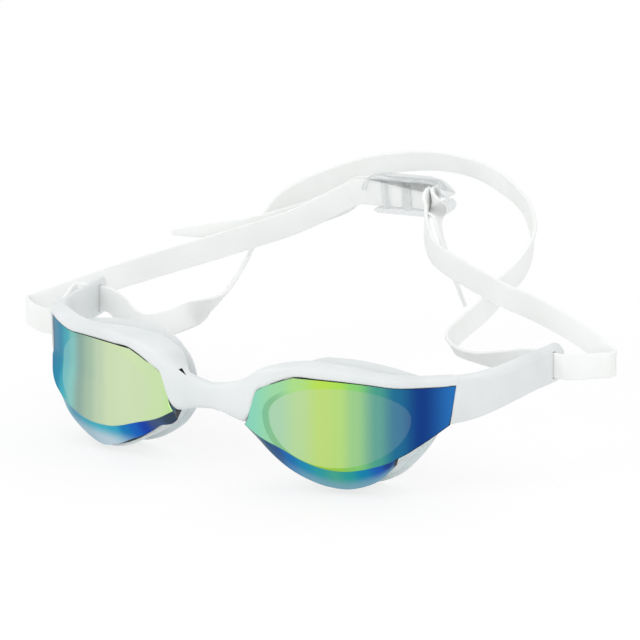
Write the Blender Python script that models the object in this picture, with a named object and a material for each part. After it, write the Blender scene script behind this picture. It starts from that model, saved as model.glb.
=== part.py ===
# Racing swim goggles: one-piece frame, two lens cups, two gaskets, one strap in stretches, one clip.
# Lengths below are in millimetres and are scaled to metres when a mesh is made.
# Lenses face -Y, the head is on the +Y side, +Z is up. The origin is the middle of the face side.

import math

import bpy
import numpy as np

MM = 0.001

# Fits
FIT = 0.3

# Origin of the part in the drawing frame used by the tables below
ORIGIN = (0.0, 24.0, -13.0)

# Lens front: part of an upright cylinder
LENS_RADIUS = 75.0
LENS_AXIS_X = 12.0
LENS_WALL = 1.6
LENS_SHOULDER = 4.5

# Gasket: flat sealing plane that turns back towards the temple
SEAL_NOSE_X = 17.0
SEAL_NOSE_Y = 20.0
SEAL_SLOPE = 0.222
CUP_TO_SEAL = 6.0
SEAL_LIP = 2.0
SEAL_LAND = 4.6

# Frame
FRAME_LIP = 0.7
FRAME_STEPS = 2

# Strap
STRAP_WIDTH = 7.8
STRAP_THICK = 1.1
STRAP_EDGE = 0.25

# Arm slot for the strap
SLOT_Y = 67.0
SLOT_Z = -5.6
ARM_OUTER_X = 79.8
STUB_OUT_X = 82.2
STUB_IN_X = 75.4

# The soft arms lie a little twisted: the right slot stands higher and the left one lower
ARM_ROOT_Y = 27.0
ARM_TWIST = 2.2
SLOT_LEFT = SLOT_Z - ARM_TWIST
SLOT_RIGHT = SLOT_Z + ARM_TWIST

# Point on the line through both slots, which both runs of the strap swing about
SWING_AXIS = (0.0, SLOT_Y, SLOT_Z)

# Clip
CLIP_CENTRE = (0.0, 119.0, 23.0)
CLIP_TILT = math.radians(5.0)
CLIP_HALF_LENGTH = 16.0
CLIP_RAIL = 1.5
CLIP_BAR = 1.0
CLIP_FRONT_BARS = (-7.0, 0.4, 7.6)
CLIP_WRAP_X = 2.2
CLIP_CUT_LEFT = -19.0


def clear_scene():
    for old in list(bpy.data.objects):
        bpy.data.objects.remove(old, do_unlink=True)


def make_material(name, colour, rough, alpha=1.0, metal=0.0, clear=0.0):
    mat = bpy.data.materials.new(name)
    mat.use_nodes = True
    shader = mat.node_tree.nodes["Principled BSDF"]
    shader.inputs["Base Color"].default_value = (colour[0], colour[1], colour[2], 1.0)
    shader.inputs["Roughness"].default_value = rough
    shader.inputs["Metallic"].default_value = metal
    shader.inputs["Transmission Weight"].default_value = clear
    shader.inputs["Alpha"].default_value = alpha
    mat.diffuse_color = (colour[0], colour[1], colour[2], 1.0)
    return mat


def add_piece(name, verts, faces, mat, smooth=True, pivot=ORIGIN):
    """New piece with its own origin at the pivot, which is the joint's axis for a piece that moves."""
    mesh = bpy.data.meshes.new(name)
    placed = (np.array(verts) - np.array(pivot)) * MM
    mesh.from_pydata([tuple(v) for v in placed], [], [tuple(f) for f in faces])
    mesh.validate()
    mesh.update()
    for poly in mesh.polygons:
        poly.use_smooth = smooth
    obj = bpy.data.objects.new(name, mesh)
    obj.location = tuple((np.array(pivot) - np.array(ORIGIN)) * MM)
    bpy.context.scene.collection.objects.link(obj)
    mesh.materials.append(mat)
    return obj


def spline(points, per):
    """Smooth open curve through the points, with per steps in each span."""
    pts = [np.array(p, dtype=float) for p in points]
    first = 2.0 * pts[0] - pts[1]
    last = 2.0 * pts[-1] - pts[-2]
    ext = [first] + pts + [last]
    out = []
    for i in range(1, len(ext) - 2):
        p0, p1, p2, p3 = ext[i - 1], ext[i], ext[i + 1], ext[i + 2]
        d0 = max(np.linalg.norm(p1 - p0) ** 0.5, 1e-6)
        d1 = max(np.linalg.norm(p2 - p1) ** 0.5, 1e-6)
        d2 = max(np.linalg.norm(p3 - p2) ** 0.5, 1e-6)
        m1 = (p2 - p1) + d1 * ((p1 - p0) / d0 - (p2 - p0) / (d0 + d1))
        m2 = (p2 - p1) + d1 * ((p3 - p2) / d2 - (p3 - p1) / (d1 + d2))
        for k in range(per):
            t = k / per
            h1 = 2 * t ** 3 - 3 * t ** 2 + 1
            h2 = t ** 3 - 2 * t ** 2 + t
            h3 = -2 * t ** 3 + 3 * t ** 2
            h4 = t ** 3 - t ** 2
            out.append(h1 * p1 + h2 * m1 + h3 * p2 + h4 * m2)
    out.append(pts[-1])
    return np.array(out)


def closed_outline(runs):
    """Closed outline from runs of points; each run ends where the next one starts."""
    out = []
    for points, steps in runs:
        run = spline(points, steps)
        out.extend(run[:-1])
    return np.array(out)


def offset_outline(outline, dist):
    """Outline moved sideways by dist; positive is outwards for a clockwise outline in x, z."""
    n = len(outline)
    out = np.zeros_like(outline)
    for i in range(n):
        before = outline[i] - outline[i - 1]
        after = outline[(i + 1) % n] - outline[i]
        before = before / max(np.linalg.norm(before), 1e-9)
        after = after / max(np.linalg.norm(after), 1e-9)
        normal = np.array([-(before[1] + after[1]), before[0] + after[0]])
        size = np.linalg.norm(normal)
        normal = normal / max(size, 1e-9)
        reach = dist / max(size / 2.0, 0.75)
        out[i] = outline[i] + normal * reach
    return out


def lens_front_y(x):
    reach = min(abs(x - LENS_AXIS_X), LENS_RADIUS - 0.1)
    return LENS_RADIUS - math.sqrt(LENS_RADIUS ** 2 - reach ** 2)


def seal_y(x):
    return SEAL_NOSE_Y + SEAL_SLOPE * (x - SEAL_NOSE_X)


def lens_outline():
    """Front face of the right lens, x and z, clockwise seen from the front."""
    runs = [
        (((21.0, 0.0), (24.5, 1.5), (28.0, 2.8)), 2),
        (((28.0, 2.8), (37.0, 2.6), (47.0, 1.8), (56.0, 0.4), (63.0, 0.1), (69.5, 0.0)), 2),
        (((69.5, 0.0), (68.8, -6.0), (68.0, -12.1)), 2),
        (((68.0, -12.1), (63.0, -16.6), (56.9, -21.2), (51.7, -23.7), (43.2, -25.5), (36.5, -24.8),
          (30.7, -22.9), (24.6, -19.9), (17.8, -17.1), (12.3, -13.9)), 3),
        (((12.3, -13.9), (13.3, -12.2), (15.9, -3.3), (21.0, 0.0)), 3),
    ]
    return closed_outline(runs)


def cup_outline():
    """Back end of the right lens cup, where the gasket starts, run by run as for the front face."""
    runs = [
        (((22.5, -0.8), (25.4, 0.6), (28.5, 1.6)), 2),
        (((28.5, 1.6), (36.5, 1.6), (45.0, 0.7), (52.5, -0.8), (57.5, -2.2), (60.5, -4.5)), 2),
        (((60.5, -4.5), (61.4, -9.5), (60.8, -14.5)), 2),
        (((60.8, -14.5), (59.2, -19.0), (55.6, -24.6), (50.3, -29.6), (42.6, -32.0), (36.0, -31.3),
          (30.7, -29.4), (25.4, -26.4), (19.8, -21.9), (16.0, -16.6)), 3),
        (((16.0, -16.6), (15.9, -13.6), (18.2, -5.0), (22.5, -0.8)), 3),
    ]
    return closed_outline(runs)


def shoulder_outline():
    """Back edge of the bevel of the right lens, run by run as for the front face."""
    runs = [
        (((22.5, -0.8), (25.4, 0.6), (28.5, 1.6)), 2),
        (((28.5, 1.6), (36.5, 1.6), (45.0, 0.7), (52.5, -0.8), (57.5, -2.2), (60.8, -4.5)), 2),
        (((60.8, -4.5), (61.8, -9.5), (61.0, -14.3)), 2),
        (((61.0, -14.3), (58.4, -18.6), (54.4, -23.9), (49.6, -29.6), (42.6, -32.2), (36.0, -31.7),
          (30.3, -29.9), (24.7, -27.2), (18.8, -23.0), (13.2, -18.0)), 3),
        (((13.2, -18.0), (14.3, -13.4), (17.7, -5.0), (22.5, -0.8)), 3),
    ]
    return closed_outline(runs)


def hollow_outline():
    """Front of the hollow behind the right lens face, run by run as for the front face."""
    runs = [
        (((23.5, -1.9), (26.0, -0.6), (29.0, 0.2)), 2),
        (((29.0, 0.2), (36.5, 0.1), (44.5, -0.7), (51.5, -2.2), (55.3, -3.8), (57.8, -6.2)), 2),
        (((57.8, -6.2), (58.4, -9.5), (57.9, -12.8)), 2),
        (((57.9, -12.8), (56.0, -16.4), (52.4, -19.4), (48.2, -21.4), (42.8, -22.7), (36.8, -22.2),
          (31.2, -20.5), (26.0, -18.2), (21.6, -16.2), (18.4, -14.0)), 3),
        (((18.4, -14.0), (18.3, -12.0), (20.2, -5.6), (23.5, -1.9)), 3),
    ]
    return closed_outline(runs)


def bridge_loops(faces, first, second, count):
    for i in range(count):
        j = (i + 1) % count
        faces.append((first + i, first + j, second + j, second + i))


def lens_cup(name, side, mat):
    """Lens cup: front face, bevel and side wall, hollow and open at the back."""
    front = lens_outline()
    cup = cup_outline()
    shoulder = shoulder_outline()
    n = len(front)
    mid = np.array([40.0, -11.0])
    verts = []
    faces = []

    def push(outline, ys):
        start = len(verts)
        for p, y in zip(outline, ys):
            verts.append((side * p[0], y, p[1]))
        return start

    def shoulder_y(p):
        return min(lens_front_y(p[0]) + LENS_SHOULDER, seal_y(p[0]) - CUP_TO_SEAL - 1.2)

    rear = offset_outline(cup, -0.5)
    cup_in = offset_outline(cup, -LENS_WALL)
    rear_in = offset_outline(rear, -LENS_WALL)
    front_in = hollow_outline()

    centre = len(verts)
    verts.append((side * mid[0], lens_front_y(mid[0]), mid[1]))
    rings = []
    for k in (0.3, 0.62, 0.88):
        loop = mid + (front - mid) * k
        rings.append(push(loop, [lens_front_y(p[0]) for p in loop]))
    rings.append(push(front, [lens_front_y(p[0]) for p in front]))
    rings.append(push(shoulder, [shoulder_y(p) for p in shoulder]))
    rings.append(push(rear, [seal_y(p[0]) - CUP_TO_SEAL for p in rear]))
    rings.append(push(rear_in, [seal_y(p[0]) - CUP_TO_SEAL for p in rear_in]))
    rings.append(push(cup_in, [shoulder_y(p) + 0.3 for p in cup_in]))
    deep = [lens_front_y(p[0]) + LENS_WALL * 1.2 for p in front_in]
    rings.append(push(front_in, deep))
    for k in (0.62, 0.3):
        loop = mid + (front_in - mid) * k
        rings.append(push(loop, [lens_front_y(p[0]) + LENS_WALL * 1.2 for p in loop]))
    back = len(verts)
    verts.append((side * mid[0], lens_front_y(mid[0]) + LENS_WALL * 1.2, mid[1]))

    for i in range(n):
        faces.append((centre, rings[0] + i, rings[0] + (i + 1) % n))
    for first, second in zip(rings[:-1], rings[1:]):
        bridge_loops(faces, second, first, n)
    for i in range(n):
        faces.append((back, rings[-1] + (i + 1) % n, rings[-1] + i))
    if side > 0:
        faces = [tuple(reversed(f)) for f in faces]
    return add_piece(name, verts, faces, mat)


def gasket(name, side, mat):
    """Soft ring behind the cup: it flares to a flat sealing face."""
    cup = cup_outline()
    front_out = offset_outline(cup, -0.5)
    middle_out = offset_outline(cup, 0.9)
    rear_out = offset_outline(cup, SEAL_LIP)
    rear_in = offset_outline(rear_out, -SEAL_LAND)
    front_in = offset_outline(front_out, -LENS_WALL - 0.6)
    n = len(cup)
    verts = []
    faces = []
    starts = []
    plan = (
        (front_out, CUP_TO_SEAL - FIT),
        (middle_out, CUP_TO_SEAL * 0.5),
        (rear_out, 0.9),
        (offset_outline(rear_out, -0.5), 0.0),
        (offset_outline(rear_in, 0.5), 0.0),
        (rear_in, 0.6),
        (front_in, CUP_TO_SEAL - FIT),
    )
    for outline, ahead in plan:
        starts.append(len(verts))
        for p in outline:
            verts.append((side * p[0], seal_y(p[0]) - ahead, p[1]))
    for i in range(len(starts)):
        bridge_loops(faces, starts[(i + 1) % len(starts)], starts[i], n)
    if side > 0:
        faces = [tuple(reversed(f)) for f in faces]
    return add_piece(name, verts, faces, mat)


def frame_rows():
    """Right half of the frame from the nose outwards: the stretch along the brow, then the arm.

    Each row has a top point, a bottom point, the depth from front to back, the squareness of the
    section, the share of its height lost at the back and the heading of the path in plan.
    """

    def front(x):
        return lens_front_y(x) - FRAME_LIP

    brow = [
        ((0.0, 0.4, -3.5), (0.0, 0.4, -11.5), 4.2, 2.6, 0.0, 0.0),
        ((4.5, 0.2, -3.1), (4.5, 0.2, -12.0), 4.4, 2.7, 0.0, 0.0),
        ((8.0, -0.1, -2.2), (7.8, -0.1, -12.9), 5.2, 3.0, 0.08, 0.0),
        ((10.6, -0.3, -1.2), (9.8, -0.3, -13.6), 8.6, 3.4, 0.25, 0.0),
        ((12.4, -0.5, -0.2), (11.2, -0.5, -13.7), 12.0, 3.6, 0.4, 0.0),
        ((14.2, -0.5, 1.0), (12.5, -0.5, -12.4), 13.6, 3.8, 0.43, 0.0),
        ((17.0, front(15.5), 3.2), (15.2, front(15.5), -3.2), 14.2, 3.6, 0.45, 3.0),
        ((19.8, front(18.4), 4.9), (18.1, front(18.4), -1.2), 14.6, 3.4, 0.42, 5.5),
        ((23.6, front(22.4), 6.3), (21.0, front(22.4), 0.5), 14.8, 3.4, 0.45, 8.5),
        ((28.5, front(28.3), 6.9), (28.0, front(28.3), 3.25), 15.0, 3.4, 0.66, 12.6),
        ((35.0, front(35.0), 7.0), (35.0, front(35.0), 3.1), 14.8, 3.4, 0.66, 17.8),
        ((41.4, front(41.4), 6.7), (41.4, front(41.4), 2.75), 14.0, 3.4, 0.64, 23.0),
        ((49.4, front(49.4), 5.0), (49.4, front(49.4), 1.95), 11.4, 3.4, 0.5, 29.9),
        ((56.0, front(56.0), 3.4), (56.0, front(56.0), 0.85), 8.6, 3.6, 0.25, 35.9),
        ((63.0, front(63.0), 2.7), (63.0, front(63.0), 0.55), 6.4, 3.8, 0.1, 42.8),
        ((68.4, front(68.4), 2.4), (68.4, front(68.4), 0.5), 5.4, 4.0, 0.0, 49.0),
        ((69.9, front(69.9), 2.3), (69.9, front(69.9), 0.4), 5.2, 4.2, 0.0, 50.8),
    ]
    arm = [
        ((70.1, front(70.1), 2.3), (68.75, front(68.75), -12.2), 5.0, 4.4, 0.0, 51.5),
        ((71.6, 29.3, 2.1), (70.6, 28.8, -12.2), 4.9, 4.4, 0.0, 60.0),
        ((73.4, 33.4, 1.8), (72.9, 33.2, -12.0), 4.6, 4.4, 0.0, 67.0),
        ((75.8, 41.0, 1.4), (75.5, 41.0, -11.6), 4.0, 4.4, 0.0, 75.0),
        ((77.8, 51.0, 1.0), (77.6, 51.0, -11.3), 3.4, 4.4, 0.0, 79.0),
        ((79.1, SLOT_Y - 7.0, 0.7), (79.0, SLOT_Y - 7.0, -11.2), 3.1, 4.4, 0.0, 83.0),
        ((ARM_OUTER_X, SLOT_Y - 1.5, 0.5), (ARM_OUTER_X, SLOT_Y - 1.5, -11.3), 3.0, 4.4, 0.0, 86.0),
        ((80.1, SLOT_Y + 3.0, 0.3), (80.1, SLOT_Y + 3.0, -11.2), 3.0, 4.2, 0.0, 88.0),
        ((80.2, SLOT_Y + 4.8, -0.4), (80.2, SLOT_Y + 4.8, -10.7), 2.7, 3.6, 0.0, 89.0),
        ((80.1, SLOT_Y + 5.7, -1.5), (80.1, SLOT_Y + 5.7, -9.6), 1.8, 3.0, 0.0, 90.0),
    ]
    return brow, arm


def frame_piece(name, mat):
    stretches = []
    for rows, arm_part in zip(frame_rows(), (0.0, 1.0)):
        table = [list(t) + list(b) + [d, p, f, h, arm_part] for t, b, d, p, f, h in rows]
        stretches.append(spline(table, FRAME_STEPS))
    right = np.vstack(stretches)
    left = right[1:].copy()[::-1]
    left[:, 0] *= -1.0
    left[:, 3] *= -1.0
    left[:, 9] *= -1.0
    stations = np.vstack([left, right])
    n = len(stations)
    count = 16
    verts = []
    faces = []
    for i in range(n):
        heading = math.radians(stations[i, 9])
        inward = np.array([-math.sin(heading), math.cos(heading), 0.0])
        share = min(max((stations[i, 1] - ARM_ROOT_Y) / (SLOT_Y - ARM_ROOT_Y), 0.0), 1.0)
        lift = math.copysign(ARM_TWIST, stations[i, 0]) * share * share * (3.0 - 2.0 * share)
        top = stations[i, 0:3] + np.array((0.0, 0.0, lift))
        bottom = stations[i, 3:6] + np.array((0.0, 0.0, lift))
        depth, power, fall = stations[i, 6:9]
        arm_part = stations[i, 10]
        for k in range(count):
            ang = 2.0 * math.pi * (k + 0.5) / count
            c = math.cos(ang)
            s = math.sin(ang)
            a = math.copysign(abs(c) ** (2.0 / power), c)
            b = math.copysign(abs(s) ** (2.0 / power), s)
            # Sloping band along the top of the arm's outer face
            band = 0.62 + 0.38 * (a + 1.0) / 1.1
            b = b + arm_part * min(0.0, band - b)
            back = (a + 1.0) * 0.5
            high = (b + 1.0) * 0.5 * (1.0 - fall * back)
            verts.append(tuple(bottom + (top - bottom) * high + inward * depth * back))
    for i in range(n - 1):
        for k in range(count):
            j = (k + 1) % count
            faces.append((i * count + k, i * count + j, (i + 1) * count + j, (i + 1) * count + k))
    faces.append(tuple(reversed(range(count))))
    faces.append(tuple((n - 1) * count + k for k in range(count)))
    obj = add_piece(name, verts, faces, mat)
    high = STRAP_WIDTH * 0.5 + FIT
    thick = STRAP_THICK * 0.5 + FIT
    for side, label, level in ((-1.0, "slot_cut_left", SLOT_LEFT), (1.0, "slot_cut_right", SLOT_RIGHT)):
        corners = []
        for x in (STUB_IN_X - 1.0, STUB_OUT_X + 1.0):
            for y in (SLOT_Y - thick, SLOT_Y + thick):
                for z in (level - high, level + high):
                    corners.append((side * x, y, z))
        quads = [(0, 1, 3, 2), (4, 6, 7, 5), (0, 4, 5, 1), (2, 3, 7, 6), (0, 2, 6, 4), (1, 5, 7, 3)]
        if side < 0:
            quads = [tuple(reversed(q)) for q in quads]
        cutter = add_piece(label, corners, quads, mat, smooth=False)
        cutter.hide_render = True
        cutter.display_type = "WIRE"
        cut = obj.modifiers.new(label, "BOOLEAN")
        cut.operation = "DIFFERENCE"
        cut.solver = "EXACT"
        cut.object = cutter
    return obj


def ribbon(name, path, first, last, mat, pivot, taper_start=0, taper_end=0):
    """Stretch of the strap between two places on its route; cut ends stand half a gap back."""
    half_w = STRAP_WIDTH * 0.5
    half_t = STRAP_THICK * 0.5
    edge = STRAP_EDGE
    verts = []
    faces = []
    shape = (
        (half_w, half_t - edge), (half_w - edge, half_t), (edge - half_w, half_t),
        (-half_w, half_t - edge), (-half_w, edge - half_t), (edge - half_w, -half_t),
        (half_w - edge, -half_t), (half_w, edge - half_t),
    )
    count = len(shape)
    n = last - first + 1
    for i in range(first, last + 1):
        ahead = path[min(i + 1, len(path) - 1), 0:3] - path[max(i - 1, 0), 0:3]
        ahead = ahead / np.linalg.norm(ahead)
        wide = path[i, 3:6]
        wide = wide - ahead * np.dot(wide, ahead)
        wide = wide / np.linalg.norm(wide)
        flat = np.cross(ahead, wide)
        keep = 1.0
        if taper_end and i > last - taper_end:
            keep = 0.25 + 0.75 * (last - i) / taper_end
        if taper_start and i < first + taper_start:
            keep = 0.25 + 0.75 * (i - first) / taper_start
        shift = (1.0 - keep) * half_w
        centre = path[i, 0:3].copy()
        if i == first and first > 0:
            centre = centre + ahead * FIT * 0.5
        if i == last and last < len(path) - 1:
            centre = centre - ahead * FIT * 0.5
        for w, t in shape:
            verts.append(tuple(centre + wide * (w * keep + shift) + flat * t))
    for i in range(n - 1):
        for k in range(count):
            j = (k + 1) % count
            faces.append((i * count + k, i * count + j, (i + 1) * count + j, (i + 1) * count + k))
    faces.append(tuple(reversed(range(count))))
    faces.append(tuple((n - 1) * count + k for k in range(count)))
    return add_piece(name, verts, faces, mat, pivot=pivot)


def clip_point(x, y, z):
    """Point of the clip's own frame, placed where the clip sits."""
    c = math.cos(CLIP_TILT)
    s = math.sin(CLIP_TILT)
    return (CLIP_CENTRE[0] + c * x - s * z, CLIP_CENTRE[1] + y, CLIP_CENTRE[2] + s * x + c * z)


def clip_row(x, y, z=0.0):
    s = math.sin(CLIP_TILT)
    c = math.cos(CLIP_TILT)
    return clip_point(x, y, z) + (-s, 0.0, c)


# Depth of each layer inside the clip, from the front bars to the wrapped ends
WRAP_RADIUS = STRAP_THICK * 0.5 + FIT + CLIP_BAR * 0.5
FRONT_BAR_BACK = -(WRAP_RADIUS + STRAP_THICK * 0.5 + FIT)
CLIP_FRONT = FRONT_BAR_BACK - CLIP_BAR
CLIP_BACK = WRAP_RADIUS + STRAP_THICK * 0.5 + FIT
CLIP_BOX_HALF = STRAP_WIDTH * 0.5 + FIT


def clip_piece(name, mat):
    """Clear clip: two rails, front bars, wrapped bars and end bars, in one solid made of cells."""
    xs = [-CLIP_HALF_LENGTH, -CLIP_HALF_LENGTH + 2.0]
    for bar in CLIP_FRONT_BARS:
        xs.extend([bar - CLIP_BAR * 0.6, bar + CLIP_BAR * 0.6])
    wrap_in = CLIP_WRAP_X - 0.2
    wrap_out = CLIP_WRAP_X + 1.8
    xs.extend([-wrap_out, -wrap_in, wrap_in, wrap_out])
    xs.extend([CLIP_HALF_LENGTH - 2.0, CLIP_HALF_LENGTH])
    xs = sorted(xs)
    ys = [CLIP_FRONT, FRONT_BAR_BACK, -CLIP_BAR * 0.5, CLIP_BAR * 0.5, CLIP_BACK]
    zs = [-CLIP_BOX_HALF - CLIP_RAIL, -CLIP_BOX_HALF, CLIP_BOX_HALF, CLIP_BOX_HALF + CLIP_RAIL]

    def filled(i, j, k):
        if k != 1:
            return True
        x = (xs[i] + xs[i + 1]) * 0.5
        if j == 0:
            return any(abs(x - bar) < CLIP_BAR * 0.5 for bar in CLIP_FRONT_BARS)
        if j == 2:
            return abs(x) > CLIP_HALF_LENGTH - 2.0 or wrap_in < abs(x) < wrap_out
        return False

    index = {}
    verts = []
    faces = []

    def corner(i, j, k):
        key = (i, j, k)
        if key not in index:
            index[key] = len(verts)
            verts.append(clip_point(xs[i], ys[j], zs[k]))
        return index[key]

    sizes = (len(xs) - 1, len(ys) - 1, len(zs) - 1)
    steps = ((1, 0, 0), (-1, 0, 0), (0, 1, 0), (0, -1, 0), (0, 0, 1), (0, 0, -1))
    quads = {
        (1, 0, 0): ((1, 0, 0), (1, 1, 0), (1, 1, 1), (1, 0, 1)),
        (-1, 0, 0): ((0, 0, 0), (0, 0, 1), (0, 1, 1), (0, 1, 0)),
        (0, 1, 0): ((0, 1, 0), (0, 1, 1), (1, 1, 1), (1, 1, 0)),
        (0, -1, 0): ((0, 0, 0), (1, 0, 0), (1, 0, 1), (0, 0, 1)),
        (0, 0, 1): ((0, 0, 1), (1, 0, 1), (1, 1, 1), (0, 1, 1)),
        (0, 0, -1): ((0, 0, 0), (0, 1, 0), (1, 1, 0), (1, 0, 0)),
    }
    for i in range(sizes[0]):
        for j in range(sizes[1]):
            for k in range(sizes[2]):
                if not filled(i, j, k):
                    continue
                for step in steps:
                    a = i + step[0]
                    b = j + step[1]
                    c = k + step[2]
                    inside = 0 <= a < sizes[0] and 0 <= b < sizes[1] and 0 <= c < sizes[2]
                    if inside and filled(a, b, c):
                        continue
                    faces.append(tuple(corner(i + q[0], j + q[1], k + q[2]) for q in quads[step]))
    return add_piece(name, verts, faces, mat, smooth=False, pivot=SWING_AXIS)


UP = (0.0, 0.0, 1.0)


def wrap_rows(side):
    """Half turn of a strap end round its bar in the clip, from the front layer to the back layer."""
    rows = []
    for ang in (-90.0, -60.0, -30.0, 0.0, 30.0, 60.0, 90.0):
        a = math.radians(ang)
        x = side * (CLIP_WRAP_X - WRAP_RADIUS * math.cos(a))
        rows.append(clip_row(x, WRAP_RADIUS * math.sin(a)))
    return rows


def left_end_rows():
    """Free tail behind the left run, then round its bar and out of the clip."""
    return [
        (-69.5, 98.6, 2.3) + UP,
        (-59.0, 102.4, 4.9) + UP,
        (-47.5, 106.2, 7.6) + UP,
        (-35.5, 112.9, 11.6) + UP,
        (-23.5, 119.6, 16.6) + UP,
        clip_row(-17.5, WRAP_RADIUS + 0.1),
        clip_row(-12.0, WRAP_RADIUS),
        clip_row(-7.0, WRAP_RADIUS),
    ] + wrap_rows(-1.0)[::-1] + [
        clip_row(-7.0, -WRAP_RADIUS),
        clip_row(-12.0, -WRAP_RADIUS),
        clip_row(-15.5, -WRAP_RADIUS),
        clip_row(-16.8, -WRAP_RADIUS - 0.2, -0.2),
    ]


def left_run_rows():
    """From the clip to the left fold and back in to the left arm slot."""
    return [
        clip_row(CLIP_CUT_LEFT, -WRAP_RADIUS - 0.9, -1.0),
        (-32.0, 108.6, 12.6) + UP,
        (-46.6, 99.2, 6.8) + UP,
        (-67.0, 86.8, -0.6) + UP,
        (-82.4, 77.6, -6.4) + UP,
        (-100.2, 68.6, -14.2) + UP,
        (-101.6, 67.7, -14.7) + UP,
        (-101.9, 66.4, -15.0) + UP,
        (-101.0, 65.2, -15.3) + UP,
        (-98.5, 63.6, -15.7) + UP,
        (-92.6, 60.8, -15.6) + UP,
        (-88.4, 59.4, -14.6) + UP,
        (-86.0, 60.2, -12.4) + UP,
        (-85.2, 62.6, -9.8) + UP,
        (-85.1, 65.2, -8.4) + UP,
        (-84.6, 66.7, SLOT_LEFT - 0.1) + UP,
        (-83.4, SLOT_Y, SLOT_LEFT) + UP,
    ]


def inner_rows():
    """Second run from slot to slot: under both outer runs, then behind and above the clip."""
    return [
        (-74.6, SLOT_Y, SLOT_LEFT) + UP,
        (-72.6, SLOT_Y, SLOT_LEFT) + UP,
        (-69.0, 66.9, -11.0) + UP,
        (-64.8, 66.7, -13.6) + UP,
        (-59.6, 66.5, -13.8) + (0.0, 0.15, 0.98),
        (-52.0, 66.8, -11.4) + (0.1, 0.35, 0.93),
        (-46.0, 69.2, -8.4) + (0.3, 0.45, 0.84),
        (-42.8, 74.0, -6.9) + (0.5, 0.3, 0.8),
        (-42.4, 80.0, -5.9) + (0.62, 0.05, 0.78),
        (-43.8, 88.0, -4.5) + (0.62, 0.0, 0.78),
        (-46.6, 99.2, -2.8) + (0.55, 0.0, 0.83),
        (-48.0, 105.2, -1.2) + (0.5, -0.05, 0.86),
        (-49.0, 110.6, 1.3) + (0.4, -0.1, 0.9),
        (-49.0, 116.0, 5.6) + (0.3, -0.15, 0.93),
        (-46.0, 121.2, 11.2) + (0.2, -0.2, 0.95),
        (-38.6, 125.4, 16.8) + (0.15, -0.3, 0.94),
        (-29.0, 128.4, 21.6) + (0.1, -0.36, 0.92),
        (-18.0, 130.4, 26.0) + (0.05, -0.42, 0.9),
        (-6.0, 131.2, 29.2) + (0.0, -0.46, 0.88),
        (6.0, 130.6, 31.0) + (0.0, -0.47, 0.88),
        (18.0, 128.4, 31.2) + (-0.05, -0.47, 0.88),
        (28.1, 125.0, 30.0) + (-0.15, -0.47, 0.87),
        (37.0, 121.2, 27.2) + (-0.2, -0.47, 0.87),
        (42.2, 118.5, 23.9) + (-0.2, -0.5, 0.86),
        (45.6, 115.2, 19.2) + (-0.1, -0.5, 0.86),
        (46.0, 112.0, 14.2) + (0.0, -0.45, 0.9),
        (44.8, 108.0, 9.2) + (0.05, -0.3, 0.95),
        (42.6, 103.0, 5.3) + (0.05, -0.15, 0.98),
        (41.2, 97.0, 1.7) + UP,
        (40.9, 91.0, -0.3) + UP,
        (40.8, 85.0, -1.3) + UP,
        (40.6, 78.0, -2.6) + (0.0, -0.05, 1.0),
        (40.8, 72.6, -3.6) + (-0.15, -0.25, 0.95),
        (42.2, 69.2, -4.3) + (-0.2, -0.55, 0.8),
        (46.5, 67.2, -5.0) + (0.0, -0.76, 0.65),
        (54.0, 66.6, -5.5) + (0.0, -0.76, 0.65),
        (64.0, 66.6, -4.6) + (0.0, -0.4, 0.92),
        (71.6, SLOT_Y, SLOT_RIGHT) + UP,
        (74.6, SLOT_Y, SLOT_RIGHT) + UP,
    ]


def right_run_rows():
    """Out of the right arm slot to the right fold, then to the clip."""
    return [
        (83.0, SLOT_Y, SLOT_RIGHT) + UP,
        (84.2, SLOT_Y, SLOT_RIGHT + 0.1) + UP,
        (87.4, 66.7, -2.7) + UP,
        (92.6, 66.4, -1.4) + UP,
        (97.0, 66.2, -0.4) + UP,
        (98.9, 66.8, -0.1) + UP,
        (99.5, 68.0, 0.1) + UP,
        (98.9, 69.2, 0.4) + UP,
        (97.2, 69.9, 1.0) + UP,
        (84.8, 74.6, 4.6) + UP,
        (66.3, 81.2, 7.5) + UP,
        (48.9, 88.5, 8.1) + UP,
        (31.8, 96.5, 9.6) + UP,
        (23.4, 100.4, 10.6) + UP,
        (17.0, 104.4, 12.0) + (0.12, -0.12, 0.98),
    ]


def right_end_rows():
    """Into the clip, round its bar, out again and down as the free tail."""
    return [
        (13.6, 107.8, 14.8) + (0.2, -0.2, 0.96),
        (12.0, 110.4, 18.2) + (0.12, -0.2, 0.97),
        (11.3, 112.6, 21.6) + UP,
        clip_row(11.0, -5.2),
        clip_row(10.9, -4.2),
        clip_row(10.5, -2.9),
        clip_row(9.6, -1.9),
        clip_row(8.0, -WRAP_RADIUS),
        clip_row(5.5, -WRAP_RADIUS),
    ] + wrap_rows(1.0) + [
        clip_row(6.0, WRAP_RADIUS),
        clip_row(9.0, WRAP_RADIUS),
        clip_row(11.2, WRAP_RADIUS - 0.4),
        clip_row(12.4, WRAP_RADIUS - 1.7),
        clip_row(12.8, -2.2),
        clip_row(13.0, -3.9),
        clip_row(13.1, -5.3),
        (14.6, 110.9, 20.4) + (-0.25, 0.35, 0.9),
        (17.0, 110.2, 14.2) + (-0.45, 0.75, 0.45),
        (19.2, 110.6, 7.0) + (-0.5, 0.86, 0.1),
        (21.8, 110.8, 0.0) + (-0.5, 0.86, 0.0),
        (24.6, 110.6, -6.6) + (-0.5, 0.86, 0.0),
    ]


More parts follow.
